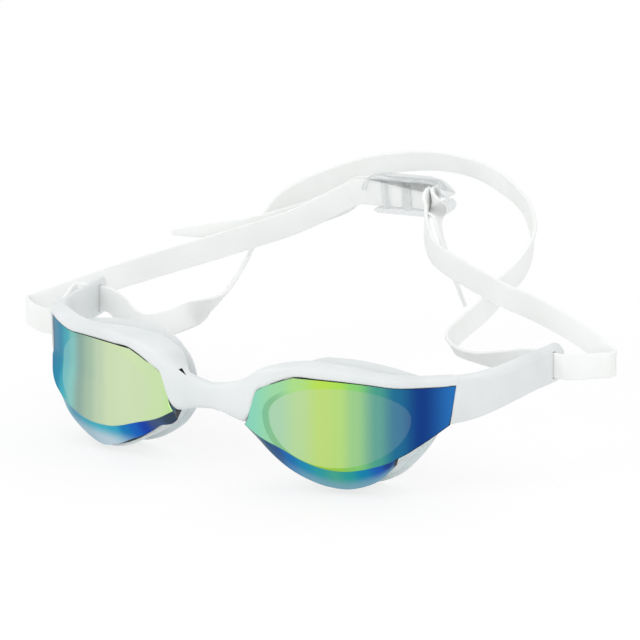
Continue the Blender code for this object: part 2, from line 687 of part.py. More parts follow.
def strap_route():
    """Whole route of the one strap, and the row numbers where its stretches meet."""
    rows = left_end_rows()
    marks = [0, len(rows)]
    rows = rows + left_run_rows()
    marks.append(len(rows))
    rows.append((-STUB_OUT_X, SLOT_Y, SLOT_LEFT) + UP)
    rows.append((-0.5 * (STUB_OUT_X + STUB_IN_X), SLOT_Y, SLOT_LEFT) + UP)
    marks.append(len(rows))
    rows.append((-STUB_IN_X, SLOT_Y, SLOT_LEFT) + UP)
    rows = rows + inner_rows()
    marks.append(len(rows))
    rows.append((STUB_IN_X, SLOT_Y, SLOT_RIGHT) + UP)
    rows.append((0.5 * (STUB_OUT_X + STUB_IN_X), SLOT_Y, SLOT_RIGHT) + UP)
    marks.append(len(rows))
    rows.append((STUB_OUT_X, SLOT_Y, SLOT_RIGHT) + UP)
    rows = rows + right_run_rows()
    marks.append(len(rows))
    rows = rows + right_end_rows()
    marks.append(len(rows) - 1)
    return rows, marks


clear_scene()

white_rubber = make_material("white_frame_rubber", (0.86, 0.88, 0.88), 0.45)
mirror_lens = make_material("mirrored_lens", (0.25, 0.55, 0.5), 0.12, metal=0.6)
soft_seal = make_material("translucent_silicone", (0.62, 0.7, 0.7), 0.5)
white_strap = make_material("white_silicone", (0.84, 0.85, 0.84), 0.55)
clear_clip = make_material("clear_polycarbonate", (0.75, 0.8, 0.82), 0.1, clear=0.8)

frame_piece("frame", white_rubber)
lens_cup("lens_left", -1.0, mirror_lens)
lens_cup("lens_right", 1.0, mirror_lens)
gasket("gasket_left", -1.0, soft_seal)
gasket("gasket_right", 1.0, soft_seal)
clip_piece("strap_clip", clear_clip)
STRAP_STEPS = 2
STRAP_NAMES = (
    "strap_end_left", "strap_outer_left", "strap_slot_left", "strap_inner",
    "strap_slot_right", "strap_outer_right", "strap_end_right",
)
strap_rows, strap_marks = strap_route()
strap_path = spline(strap_rows, STRAP_STEPS)
for spot, label in enumerate(STRAP_NAMES):
    low = strap_marks[spot] * STRAP_STEPS
    high = strap_marks[spot + 1] * STRAP_STEPS
    pivot = ORIGIN if "slot" in label else SWING_AXIS
    ribbon(label, strap_path, low, high, white_strap, pivot,
           taper_start=4 if spot == 0 else 0,
           taper_end=4 if spot == len(STRAP_NAMES) - 1 else 0)
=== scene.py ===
"""Looks for the swim goggles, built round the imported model. Lengths in the tables are millimetres."""

import math

import bpy
import numpy as np
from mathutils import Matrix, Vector

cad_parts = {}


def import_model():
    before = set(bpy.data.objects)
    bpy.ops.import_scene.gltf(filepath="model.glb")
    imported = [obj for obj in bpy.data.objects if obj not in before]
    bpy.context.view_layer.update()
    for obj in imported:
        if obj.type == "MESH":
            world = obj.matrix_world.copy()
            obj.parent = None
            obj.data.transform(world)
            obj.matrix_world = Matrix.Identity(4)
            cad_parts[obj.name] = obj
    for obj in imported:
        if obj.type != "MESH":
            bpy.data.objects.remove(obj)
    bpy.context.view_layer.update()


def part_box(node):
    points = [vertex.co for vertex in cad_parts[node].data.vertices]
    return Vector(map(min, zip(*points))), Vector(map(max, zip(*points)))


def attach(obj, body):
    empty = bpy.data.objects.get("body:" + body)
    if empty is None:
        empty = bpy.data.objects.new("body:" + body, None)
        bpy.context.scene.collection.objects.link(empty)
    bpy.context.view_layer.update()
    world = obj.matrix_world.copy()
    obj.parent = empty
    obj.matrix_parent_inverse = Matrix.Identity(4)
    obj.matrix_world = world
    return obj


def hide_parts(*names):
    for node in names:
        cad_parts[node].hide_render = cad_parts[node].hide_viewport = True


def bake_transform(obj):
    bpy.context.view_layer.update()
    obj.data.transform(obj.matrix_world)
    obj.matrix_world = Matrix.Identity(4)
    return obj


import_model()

MM = 0.001
ORIGIN = np.array((0.0, 24.0, -13.0))

# Camera: target point in the drawing frame, angles in degrees, distance and the width of the view there
CAMERA_TARGET = (3.6, 60.0, 0.3)
CAMERA_AZIMUTH = 30.0
CAMERA_ELEVATION = 18.0
CAMERA_DISTANCE = 5000.0
VIEW_WIDTH = 191.0
SENSOR_WIDTH = 36.0

# Studio in metres: the floor shows as white by its glow, and keeps a share of the shadow.
# Each lamp has a name, a place, a width and a power in watts.
FLOOR_REACH = 3.0
FLOOR_COLOUR = (0.92, 0.92, 0.92, 1.0)
FLOOR_GLOW = 1.04
FLOOR_GLOW_SHARE = 0.72
WORLD_LIGHT = 0.82
WORLD_SEEN = 1.0
LAMPS = (
    ("key", (-0.6, -0.9, 1.0), 1.0, 3.8),
    ("front", (0.9, -1.0, 0.5), 1.0, 2.2),
    ("rear", (0.2, 1.2, 0.9), 0.9, 1.6),
)

# Lens cups and gaskets; the coating's colours, its own tint with painted reflections, run from COAT_NOSE_X
# to COAT_TEMPLE_X
LENS_RADIUS = 75.0
LENS_AXIS_X = 12.0
LENS_WALL = 1.6
LENS_SHOULDER = 4.5
COAT_NOSE_X = 12.5
COAT_TEMPLE_X = 70.5
SEAL_NOSE_X = 17.0
SEAL_NOSE_Y = 20.0
SEAL_SLOPE = 0.222
CUP_TO_SEAL = 6.0
SEAL_LIP = 2.0
SEAL_LAND = 4.6
FRAME_LIP = 0.7

# Strap, arms and the slots that it goes through
STRAP_WIDTH = 7.8
STRAP_THICK = 1.1
SLOT_Y = 67.0
SLOT_Z = -5.6
ARM_OUTER_X = 79.8
STUB_OUT_X = 82.2
STUB_IN_X = 75.4
ARM_ROOT_Y = 27.0
ARM_TWIST = 2.2
SLOT_LEFT = SLOT_Z - ARM_TWIST
SLOT_RIGHT = SLOT_Z + ARM_TWIST

# Clip
CLIP_CENTRE = (0.0, 119.0, 23.0)
CLIP_TILT = math.radians(5.0)
CLIP_BAR = 1.0
CLIP_WRAP_X = 2.2
CLIP_CUT_LEFT = -19.0
FIT = 0.3
UP = (0.0, 0.0, 1.0)


# Shape helpers

def world(point):
    return tuple((np.array(point, dtype=float) - ORIGIN) * MM)


def add_piece(name, verts, faces, mats, sharp=None, face_mats=None):
    mesh = bpy.data.meshes.new(name)
    placed = (np.array(verts, dtype=float) - ORIGIN) * MM
    mesh.from_pydata([tuple(v) for v in placed], [], [tuple(f) for f in faces])
    mesh.update()
    for mat in mats:
        mesh.materials.append(mat)
    for poly in mesh.polygons:
        poly.use_smooth = True
    if face_mats:
        for poly, slot in zip(mesh.polygons, face_mats):
            poly.material_index = slot
    if sharp:
        mesh.set_sharp_from_angle(angle=math.radians(sharp))
    obj = bpy.data.objects.new(name, mesh)
    bpy.context.scene.collection.objects.link(obj)
    return obj


def carve(obj, label, corners, quads, sharp):
    """Cuts one closed shape out of the piece."""
    cutter = add_piece(label, corners, quads, [])
    cut = obj.modifiers.new(label, "BOOLEAN")
    cut.operation = "DIFFERENCE"
    cut.solver = "EXACT"
    cut.object = cutter
    bpy.context.view_layer.update()
    graph = bpy.context.evaluated_depsgraph_get()
    carved = bpy.data.meshes.new_from_object(obj.evaluated_get(graph))
    obj.modifiers.clear()
    obj.data = carved
    bpy.data.objects.remove(cutter, do_unlink=True)
    for poly in carved.polygons:
        poly.use_smooth = True
    carved.set_sharp_from_angle(angle=math.radians(sharp))


def spline(points, per):
    """Smooth open curve through the points, with per steps in each span."""
    pts = [np.array(p, dtype=float) for p in points]
    ext = [2.0 * pts[0] - pts[1]] + pts + [2.0 * pts[-1] - pts[-2]]
    out = []
    for i in range(1, len(ext) - 2):
        p0, p1, p2, p3 = ext[i - 1], ext[i], ext[i + 1], ext[i + 2]
        d0 = max(np.linalg.norm(p1 - p0) ** 0.5, 1e-6)
        d1 = max(np.linalg.norm(p2 - p1) ** 0.5, 1e-6)
        d2 = max(np.linalg.norm(p3 - p2) ** 0.5, 1e-6)
        m1 = (p2 - p1) + d1 * ((p1 - p0) / d0 - (p2 - p0) / (d0 + d1))
        m2 = (p2 - p1) + d1 * ((p3 - p2) / d2 - (p3 - p1) / (d1 + d2))
        for k in range(per):
            t = k / per
            h1 = 2 * t ** 3 - 3 * t ** 2 + 1
            h2 = t ** 3 - 2 * t ** 2 + t
            h3 = -2 * t ** 3 + 3 * t ** 2
            h4 = t ** 3 - t ** 2
            out.append(h1 * p1 + h2 * m1 + h3 * p2 + h4 * m2)
    out.append(pts[-1])
    return np.array(out)


def closed_outline(runs, finer):
    out = []
    for points, steps in runs:
        out.extend(spline(points, steps * finer)[:-1])
    return np.array(out)


def offset_outline(outline, dist):
    n = len(outline)
    out = np.zeros_like(outline)
    for i in range(n):
        before = outline[i] - outline[i - 1]
        after = outline[(i + 1) % n] - outline[i]
        before = before / max(np.linalg.norm(before), 1e-9)
        after = after / max(np.linalg.norm(after), 1e-9)
        normal = np.array([-(before[1] + after[1]), before[0] + after[0]])
        size = np.linalg.norm(normal)
        out[i] = outline[i] + normal / max(size, 1e-9) * (dist / max(size / 2.0, 0.75))
    return out


def relax(outline, rounds):
    """Rounds the corners of a closed outline and takes out folds that an offset left."""
    for _ in range(rounds):
        outline = 0.25 * np.roll(outline, 1, axis=0) + 0.5 * outline + 0.25 * np.roll(outline, -1, axis=0)
    return outline


def even_share(value, low, high):
    """0 at low, 1 at high, straight between them."""
    return min(max((value - low) / (high - low), 0.0), 1.0)


def smooth_share(value, low, high):
    """0 at low, 1 at high, eased at both ends."""
    t = even_share(value, low, high)
    return t * t * (3.0 - 2.0 * t)


def lens_front_y(x):
    reach = min(abs(x - LENS_AXIS_X), LENS_RADIUS - 0.1)
    return LENS_RADIUS - math.sqrt(LENS_RADIUS ** 2 - reach ** 2)


def seal_y(x):
    return SEAL_NOSE_Y + SEAL_SLOPE * (x - SEAL_NOSE_X)


def bridge_loops(faces, first, second, count):
    for i in range(count):
        j = (i + 1) % count
        faces.append((first + i, first + j, second + j, second + i))


# Materials

def new_material(name):
    mat = bpy.data.materials.new(name)
    mat.use_nodes = True
    tree = mat.node_tree
    shader = tree.nodes["Principled BSDF"]
    return mat, tree, shader


def srgb(r, g, b):
    """Linear colour for a colour that should look like this on screen, 0 to 255."""
    out = []
    for v in (r, g, b):
        v = v / 255.0
        out.append(v / 12.92 if v <= 0.04045 else ((v + 0.055) / 1.055) ** 2.4)
    return (out[0], out[1], out[2], 1.0)


def ramp_node(tree, stops):
    node = tree.nodes.new("ShaderNodeValToRGB")
    node.color_ramp.interpolation = "EASE"
    els = node.color_ramp.elements
    while len(els) < len(stops):
        els.new(0.5)
    for el, (place, colour) in zip(els, sorted(stops, key=lambda s: s[0])):
        el.position = place
        el.color = colour
    return node


def math_node(tree, op, a, b=None):
    node = tree.nodes.new("ShaderNodeMath")
    node.operation = op
    for spot, value in ((0, a), (1, b)):
        if value is None:
            continue
        if isinstance(value, (int, float)):
            node.inputs[spot].default_value = value
        else:
            tree.links.new(value, node.inputs[spot])
    return node.outputs[0]


def object_xyz(tree):
    coord = tree.nodes.new("ShaderNodeTexCoord")
    split = tree.nodes.new("ShaderNodeSeparateXYZ")
    tree.links.new(coord.outputs["Object"], split.inputs[0])
    return coord.outputs["Object"], split.outputs


def noise_node(tree, vector, scale, detail=3.0):
    node = tree.nodes.new("ShaderNodeTexNoise")
    node.inputs["Scale"].default_value = scale
    node.inputs["Detail"].default_value = detail
    tree.links.new(vector, node.inputs["Vector"])
    return node.outputs["Fac"]


def seen_directly(tree):
    """1 for rays from the camera, and for what gloss and clear plastic show."""
    path_node = tree.nodes.new("ShaderNodeLightPath")
    glossy = path_node.outputs["Is Glossy Ray"]
    through = path_node.outputs["Is Transmission Ray"]
    return math_node(tree, "MAXIMUM", path_node.outputs["Is Camera Ray"],
                     math_node(tree, "MAXIMUM", glossy, through))


def add_bump(tree, shader, height, strength, distance):
    bump = tree.nodes.new("ShaderNodeBump")
    bump.inputs["Strength"].default_value = strength
    bump.inputs["Distance"].default_value = distance
    tree.links.new(height, bump.inputs["Height"])
    tree.links.new(bump.outputs["Normal"], shader.inputs["Normal"])


def moulded_rubber(name, dark, light, rough_low, rough_high, sub, grain):
    """Soft rubber with slight clouds of colour and a fine grain."""
    mat, tree, shader = new_material(name)
    vec, _ = object_xyz(tree)
    cloud = noise_node(tree, vec, 45.0)
    ramp = ramp_node(tree, [(0.3, dark), (0.7, light)])
    tree.links.new(cloud, ramp.inputs[0])
    tree.links.new(ramp.outputs[0], shader.inputs["Base Color"])
    fine = noise_node(tree, vec, grain, 4.0)
    tree.links.new(map_range(tree, fine, 0.0, 1.0, rough_low, rough_high), shader.inputs["Roughness"])
    add_bump(tree, shader, fine, 0.06, 0.0001)
    shader.inputs["Subsurface Weight"].default_value = sub
    shader.inputs["Subsurface Radius"].default_value = (0.0015, 0.0016, 0.0016)
    shader.inputs["Subsurface Scale"].default_value = 1.0
    return mat


def lens_depth(tree, xyz, side):
    """Place on the lens: millimetres out from the nose, up, and back from the front face."""
    across = math_node(tree, "MULTIPLY", xyz[0], side * 1000.0)
    up = math_node(tree, "ADD", math_node(tree, "MULTIPLY", xyz[2], 1000.0), ORIGIN[2])
    off = math_node(tree, "SUBTRACT", across, LENS_AXIS_X)
    square = math_node(tree, "MULTIPLY", off, off)
    arc = math_node(tree, "SQRT", math_node(tree, "SUBTRACT", LENS_RADIUS ** 2, square))
    face = math_node(tree, "SUBTRACT", LENS_RADIUS, arc)
    back = math_node(tree, "ADD", math_node(tree, "MULTIPLY", xyz[1], 1000.0), ORIGIN[1])
    return across, up, math_node(tree, "SUBTRACT", back, face)


def map_range(tree, value, low, high, to_low=0.0, to_high=1.0, smooth=False):
    node = tree.nodes.new("ShaderNodeMapRange")
    if smooth:
        node.interpolation_type = "SMOOTHSTEP"
    node.inputs["From Min"].default_value = low
    node.inputs["From Max"].default_value = high
    node.inputs["To Min"].default_value = to_low
    node.inputs["To Max"].default_value = to_high
    tree.links.new(value, node.inputs["Value"])
    return node.outputs[0]


def blend_colour(tree, amount, first, second, mode="MIX"):
    node = tree.nodes.new("ShaderNodeMix")
    node.data_type = "RGBA"
    node.blend_type = mode
    for spot, value in ((0, amount), (6, first), (7, second)):
        if isinstance(value, (int, float, tuple)):
            node.inputs[spot].default_value = value
        else:
            tree.links.new(value, node.inputs[spot])
    return node.outputs[2]


def mirror_finish(tree, shader, vec, colour, rough_low, rough_high):
    tree.links.new(colour, shader.inputs["Base Color"])
    shader.inputs["Metallic"].default_value = 0.85
    shader.inputs["Specular Tint"].default_value = (0.45, 0.62, 0.68, 1.0)
    fine = noise_node(tree, vec, 900.0, 2.0)
    tree.links.new(map_range(tree, fine, 0.0, 1.0, rough_low, rough_high), shader.inputs["Roughness"])
    shader.inputs["Coat Weight"].default_value = 0.06
    shader.inputs["Coat Roughness"].default_value = 0.05


# Edge of the oval opening and of its wall, as shares of the oval's size, and where the painted sheen and the
# wall's painted shade fade
OVAL_EDGE = (1.0, 0.985)
WALL_INNER = (0.99, 1.005)
WALL_OUTER = (1.11, 1.095)
WALL_FADE = (-0.15, -0.6)
WALL_SHADE = (0.5, 0.6, 0.55, 1.0)
SHEEN_FADE = (0.42, 0.95)
SHEEN = srgb(150, 210, 204)


def lens_coat_painted_light(name, side, stops, oval, pale, wall_shade_strength, sheen_strength):
    """Mirror coating: its own tint with painted reflections runs from the nose to the temple, with the
    gasket's oval opening behind painted on as seen through the lens.

    oval gives the opening's middle on x and z, its half length, and its reach up and down from there.
    The last three are the strengths of the painted light inside the oval, the painted shade of its wall and
    the painted sheen.
    """
    mat, tree, shader = new_material(name)
    vec, xyz = object_xyz(tree)
    across, up, _ = lens_depth(tree, xyz, side)
    wobble = noise_node(tree, vec, 18.0, 1.0)
    along = map_range(tree, math_node(tree, "ADD", across, wobble), COAT_NOSE_X, COAT_TEMPLE_X)
    ramp = ramp_node(tree, stops)
    tree.links.new(along, ramp.inputs[0])
    middle_x, middle_z, half_length, reach_up, reach_down = oval
    dx = math_node(tree, "DIVIDE", math_node(tree, "SUBTRACT", across, middle_x), half_length)
    lift = math_node(tree, "SUBTRACT", up, middle_z)
    dz = math_node(tree, "DIVIDE", lift, reach_down)
    tall = math_node(tree, "MAXIMUM", math_node(tree, "DIVIDE", lift, reach_up),
                     math_node(tree, "DIVIDE", lift, -reach_down))
    far = math_node(tree, "SQRT", math_node(tree, "ADD", math_node(tree, "MULTIPLY", dx, dx),
                                            math_node(tree, "MULTIPLY", tall, tall)))
    inside = map_range(tree, far, *OVAL_EDGE)
    # Painted light: paler and greyer inside the oval, where light from behind shows through the opening,
    # brighter outside it
    grey = tree.nodes.new("ShaderNodeHueSaturation")
    grey.inputs["Saturation"].default_value = 0.86
    tree.links.new(ramp.outputs[0], grey.inputs["Color"])
    washed = grey.outputs[0]
    vivid = blend_colour(tree, 0.3, ramp.outputs[0], ramp.outputs[0], "OVERLAY")
    base = blend_colour(tree, math_node(tree, "MULTIPLY", inside, pale), vivid, washed)
    # Painted sheen: pale light at the temple end of the oval
    end = math_node(tree, "MULTIPLY", inside, map_range(tree, dx, *SHEEN_FADE, 0.0, sheen_strength, True))
    base = blend_colour(tree, end, base, SHEEN)
    # Painted shade: the wall of the opening, seen through the lens as a darker band below the oval on its
    # nose side
    outer = map_range(tree, far, *WALL_OUTER)
    band = math_node(tree, "MULTIPLY", map_range(tree, far, *WALL_INNER), outer)
    slant = math_node(tree, "ADD", math_node(tree, "MULTIPLY", dx, 0.8),
                      math_node(tree, "MULTIPLY", dz, 0.6))
    nose_side = map_range(tree, slant, *WALL_FADE, 0.0, 1.0, True)
    shade = math_node(tree, "MULTIPLY", math_node(tree, "MULTIPLY", band, nose_side), wall_shade_strength)
    final = blend_colour(tree, shade, base, WALL_SHADE, "MULTIPLY")
    mirror_finish(tree, shader, vec, final, 0.15, 0.17)
    return mat


def bevel_coat(name, side, stops, foot, foot_span, foot_nose, by_height):
    """Mirror coating of the lower bevel, its own tint with painted reflections, paler over foot_span, a
    depth or a height, and past foot_nose.
    """
    mat, tree, shader = new_material(name)
    vec, xyz = object_xyz(tree)
    across, up, depth = lens_depth(tree, xyz, side)
    ramp = ramp_node(tree, stops)
    tree.links.new(map_range(tree, across, COAT_NOSE_X, COAT_TEMPLE_X), ramp.inputs[0])
    place = up if by_height else depth
    low = map_range(tree, place, foot_span[0], foot_span[1], 0.0, 0.92, True)
    mid = map_range(tree, across, foot_nose, foot_nose + 14.0, 0.1, 1.0, True)
    final = blend_colour(tree, math_node(tree, "MULTIPLY", low, mid), ramp.outputs[0], foot)
    mirror_finish(tree, shader, vec, final, 0.19, 0.22)
    return mat


def smoke_plastic(name):
    """Dark plastic of the lens body, where it has no coating."""
    mat, tree, shader = new_material(name)
    vec, _ = object_xyz(tree)
    ramp = ramp_node(tree, [(0.3, srgb(20, 25, 27)), (0.7, srgb(32, 38, 41))])
    tree.links.new(noise_node(tree, vec, 120.0), ramp.inputs[0])
    tree.links.new(ramp.outputs[0], shader.inputs["Base Color"])
    shader.inputs["Roughness"].default_value = 0.42
    shader.inputs["Specular IOR Level"].default_value = 0.06
    return mat


def silicone_seal(name):
    """Translucent silicone, with painted light making it paler near its top."""
    mat, tree, shader = new_material(name)
    vec, xyz = object_xyz(tree)
    ramp = ramp_node(tree, [(0.3, srgb(220, 231, 232)), (0.7, srgb(230, 238, 239))])
    tree.links.new(noise_node(tree, vec, 60.0), ramp.inputs[0])
    # Painted light: the seal is blended paler going up, where more light falls on it
    up = math_node(tree, "MULTIPLY", xyz[2], 1000.0)
    upper = map_range(tree, up, 2.0, 9.0, 0.0, 0.85, True)
    colour = blend_colour(tree, upper, ramp.outputs[0], srgb(238, 241, 242))
    tree.links.new(colour, shader.inputs["Base Color"])
    fine = noise_node(tree, vec, 1400.0, 3.0)
    tree.links.new(map_range(tree, fine, 0.0, 1.0, 0.3, 0.46), shader.inputs["Roughness"])
    add_bump(tree, shader, fine, 0.05, 0.0001)
    shader.inputs["Subsurface Weight"].default_value = 0.35
    shader.inputs["Subsurface Radius"].default_value = (0.003, 0.0035, 0.0035)
    shader.inputs["Subsurface Scale"].default_value = 1.0
    shader.inputs["Transmission Weight"].default_value = 0.1
    return mat


def clear_plastic(name):
    """Clear plastic, painted greyer where it is seen edge-on, as painted shade for the dark edges that
    refraction and reflection give it.
    """
    mat, tree, shader = new_material(name)
    vec, _ = object_xyz(tree)
    # Painted shade: the colour greys where the surface turns edge-on to the view
    view = tree.nodes.new("ShaderNodeLayerWeight")
    view.inputs["Blend"].default_value = 0.4
    ramp = ramp_node(tree, [(0.1, srgb(238, 242, 243)), (0.85, srgb(176, 186, 188))])
    mottle = map_range(tree, noise_node(tree, vec, 420.0), 0.2, 0.8, -0.12, 0.12)
    tree.links.new(math_node(tree, "ADD", view.outputs["Facing"], mottle), ramp.inputs[0])
    tree.links.new(ramp.outputs[0], shader.inputs["Base Color"])
    fine = noise_node(tree, vec, 1600.0, 2.0)
    tree.links.new(map_range(tree, fine, 0.0, 1.0, 0.04, 0.12), shader.inputs["Roughness"])
    shader.inputs["Alpha"].default_value = 0.32
    shader.inputs["Coat Weight"].default_value = 0.6
    shader.inputs["Coat Roughness"].default_value = 0.03
    return mat


# Lens cups and gaskets

# Outlines on the right side, x and z: runs of points with the steps in each span.
# The left side mirrors them, with the changes listed below.
# First the front edge
LENS_RUNS = [
    (((21.0, 0.0), (24.5, 1.5), (28.0, 2.8)), 2),
    (((28.0, 2.8), (37.0, 2.6), (47.0, 1.8), (56.0, 0.4), (63.0, 0.1), (69.5, 0.0)), 2),
    (((69.5, 0.0), (68.8, -6.0), (68.0, -12.1)), 2),
    (((68.0, -12.1), (63.0, -16.6), (56.9, -21.2), (51.7, -23.7), (43.2, -25.5), (36.5, -24.8),
      (30.7, -22.9), (24.6, -19.9), (17.8, -17.1), (12.3, -13.9)), 3),
    (((12.3, -13.9), (13.3, -12.2), (15.9, -3.3), (21.0, 0.0)), 3),
]
# Wall of the cup
CUP_RUNS = [
    (((22.5, -0.8), (25.4, 0.6), (28.5, 1.6)), 2),
    (((28.5, 1.6), (36.5, 1.6), (45.0, 0.7), (52.5, -0.8), (57.5, -2.2), (60.5, -4.5)), 2),
    (((60.5, -4.5), (61.4, -9.5), (60.8, -14.5)), 2),
    (((60.8, -14.5), (58.4, -18.8), (54.5, -24.0), (49.4, -29.0), (42.6, -31.9), (36.0, -31.3),
      (30.7, -29.4), (25.4, -26.4), (19.8, -21.9), (16.0, -16.6)), 3),
    (((16.0, -16.6), (15.9, -13.6), (18.2, -5.0), (22.5, -0.8)), 3),
]
# Back edge of the bevel
SHOULDER_RUNS = [
    (((22.5, -0.8), (25.4, 0.6), (28.5, 1.6)), 2),
    (((28.5, 1.6), (36.5, 1.6), (45.0, 0.7), (52.5, -0.8), (57.5, -2.2), (60.8, -4.5)), 2),
    (((60.8, -4.5), (61.8, -9.5), (61.0, -14.3)), 2),
    (((61.0, -14.3), (58.4, -18.6), (54.4, -23.9), (49.6, -29.6), (42.6, -32.2), (36.0, -31.7),
      (30.3, -29.9), (24.7, -27.2), (18.8, -23.0), (13.2, -18.0)), 3),
    (((13.2, -18.0), (14.3, -13.4), (17.7, -5.0), (22.5, -0.8)), 3),
]
# Edge of the hollow behind the front face
HOLLOW_RUNS = [
    (((23.5, -1.9), (26.0, -0.6), (29.0, 0.2)), 2),
    (((29.0, 0.2), (36.5, 0.1), (44.5, -0.7), (51.5, -2.2), (55.3, -3.8), (57.8, -6.2)), 2),
    (((57.8, -6.2), (58.4, -9.5), (57.9, -12.8)), 2),
    (((57.9, -12.8), (56.0, -16.4), (52.4, -19.4), (48.2, -21.4), (42.8, -22.7), (36.8, -22.2),
      (31.2, -20.5), (26.0, -18.2), (21.6, -16.2), (18.4, -14.0)), 3),
    (((18.4, -14.0), (18.3, -12.0), (20.2, -5.6), (23.5, -1.9)), 3),
]
FINER = 4
# By side: how much the lower temple corner stands out, and how much the lower edges rise
FRONT_FULLER = {-1.0: 3.5, 1.0: 0.0}
FRONT_RAISED = {-1.0: 1.2, 1.0: 0.0}
SHOULDER_FULLER = {-1.0: 5.8, 1.0: 0.4}
SHOULDER_RAISED = {-1.0: 2.6, 1.0: 0.0}
# Height of the fullest place on each outline, how far it fades up and down, and where it starts on x
FRONT_FULL_Z = -20.8
FRONT_FULL_SPAN = 12.0
SHOULDER_FULL_Z = -25.0
SHOULDER_FULL_SPAN = 10.5
FULL_FROM_X = 36.0
FULL_RAMP = 8.0
FULL_LIFT = 0.15
# Spans over which the lower edges' rise grows, from none at the first value to all at the second
FRONT_RISE_Z = (-14.0, -22.0)
FRONT_RISE_X = (14.0, 36.0)
NARROW_BELOW_Z = -15.0
NARROW_FROM_X = (14.0, 20.0)
NARROW_TO_X = (44.0, 28.0)
# The coated bevel's ends on x, and the height that it stays below
BEVEL_START = {-1.0: 12.6, 1.0: 15.4}
BEVEL_END = {-1.0: 62.0, 1.0: 55.9}
BEVEL_BELOW_Z = -13.6
# On the right a dark line ends the bevel, and the gasket's colour follows it
BEVEL_LINE = 0.7
SOFT_END_X = 61.0
SOFT_BELOW_Z = -17.0
# The top edge has a dark line from here to the temple
DARK_LINE_X = 20.6
EDGE_ROUND = 0.18
LENS_MIDDLE = np.array((40.0, -11.0))
FACE_RINGS = (0.12, 0.26, 0.4, 0.54, 0.68, 0.8, 0.9, 0.96)
BACK_RINGS = (1.0, 0.75, 0.5, 0.25)
BEVEL_RING = 0.06
# The gasket's skirt grows over these spans, towards the temple and below
SKIRT_X = (43.0, 50.0)
SKIRT_Z = (-11.5, -18.5)
SMOOTHING = 70


def lens_cup(name, side, mats):
    front = closed_outline(LENS_RUNS, FINER)
    cup = closed_outline(CUP_RUNS, FINER)
    shoulder = closed_outline(SHOULDER_RUNS, FINER)
    # The depth follows the even outlines, so a fuller corner doesn't lie further back
    even_front = front.copy()
    even_shoulder = shoulder.copy()
    for i in range(len(shoulder)):
        # The lower temple corner is a little fuller on the left
        for loop, level, span, amount in ((front, FRONT_FULL_Z, FRONT_FULL_SPAN, FRONT_FULLER),
                                          (shoulder, SHOULDER_FULL_Z, SHOULDER_FULL_SPAN, SHOULDER_FULLER)):
            near = smooth_share(abs(loop[i][1] - level), span, 0.0)
            near *= even_share(loop[i][0], FULL_FROM_X, FULL_FROM_X + FULL_RAMP)
            loop[i] = loop[i] + amount[side] * near * np.array((1.0, FULL_LIFT))
        sunk = even_share(front[i][1], *FRONT_RISE_Z) * even_share(front[i][0], *FRONT_RISE_X)
        front[i] = front[i] + np.array((0.0, FRONT_RAISED[side] * smooth_share(sunk, 0.0, 1.0)))
        # The bevel on the left narrows towards the nose
        if shoulder[i][1] < NARROW_BELOW_Z:
            narrow = smooth_share(shoulder[i][0], *NARROW_FROM_X)
            narrow *= smooth_share(shoulder[i][0], *NARROW_TO_X)
            shoulder[i] = shoulder[i] + np.array((0.0, SHOULDER_RAISED[side] * narrow))
    front_in = closed_outline(HOLLOW_RUNS, FINER)
    n = len(front)
    mid = LENS_MIDDLE
    verts = []
    faces = []
    slots = []

    def push(outline, ys):
        start = len(verts)
        for p, y in zip(outline, ys):
            verts.append((side * p[0], y, p[1]))
        return start

    def shoulder_y(p):
        return min(lens_front_y(p[0]) + LENS_SHOULDER, seal_y(p[0]) - CUP_TO_SEAL - 1.2)

    def plate(outline, deep=0.0):
        return [lens_front_y(p[0]) + deep for p in outline]

    rear = offset_outline(cup, -0.5)
    cup_in = offset_outline(cup, -LENS_WALL)
    rear_in = offset_outline(rear, -LENS_WALL)
    centre = len(verts)
    verts.append((side * mid[0], lens_front_y(mid[0]), mid[1]))
    rings = []
    for k in FACE_RINGS:
        rings.append((push(mid + (front - mid) * k, plate(mid + (even_front - mid) * k)), 0))
    even_edge = offset_outline(even_front, -EDGE_ROUND)
    rings.append((push(offset_outline(front, -EDGE_ROUND), plate(even_edge)), 0))
    rings.append((push(front, plate(even_front, EDGE_ROUND)), 3))
    low = front + (shoulder - front) * BEVEL_RING
    even_low = even_front + (even_shoulder - even_front) * BEVEL_RING
    rings.append((push(low, plate(even_low, EDGE_ROUND + BEVEL_RING * LENS_SHOULDER)), 1))
    rings.append((push(shoulder, [shoulder_y(p) for p in even_shoulder]), 1))
    rings.append((push(rear, [seal_y(p[0]) - CUP_TO_SEAL for p in rear]), 2))
    rings.append((push(rear_in, [seal_y(p[0]) - CUP_TO_SEAL for p in rear_in]), 2))
    rings.append((push(cup_in, [shoulder_y(p) + 0.3 for p in cup_in]), 2))
    for k in BACK_RINGS:
        loop = mid + (front_in - mid) * k
        rings.append((push(loop, plate(loop, LENS_WALL * 1.2)), 2))
    back = len(verts)
    verts.append((side * mid[0], lens_front_y(mid[0]) + LENS_WALL * 1.2, mid[1]))
    for i in range(n):
        faces.append((centre, rings[0][0] + i, rings[0][0] + (i + 1) % n))
        slots.append(0)
    for (first, _), (second, slot) in zip(rings[:-1], rings[1:]):
        bridge_loops(faces, second, first, n)
        for i in range(n):
            # The lower edge carries the coated bevel; the top and temple edges stay dark
            x, z = front[i]
            lower = shoulder[i][1] < BEVEL_BELOW_Z and x < BEVEL_END[side]
            if slot == 3:
                slots.append(0 if lower or x < DARK_LINE_X else 2)
            else:
                soft = side > 0 and BEVEL_END[side] + BEVEL_LINE < x < SOFT_END_X and z < SOFT_BELOW_Z
                coated = slot != 1 or (lower and x > BEVEL_START[side])
                slots.append(3 if soft and slot == 1 else slot if coated else 2)
    for i in range(n):
        faces.append((back, rings[-1][0] + (i + 1) % n, rings[-1][0] + i))
        slots.append(2)
    if side > 0:
        faces = [tuple(reversed(f)) for f in faces]
    return add_piece(name, verts, faces, mats, sharp=28.0, face_mats=slots)


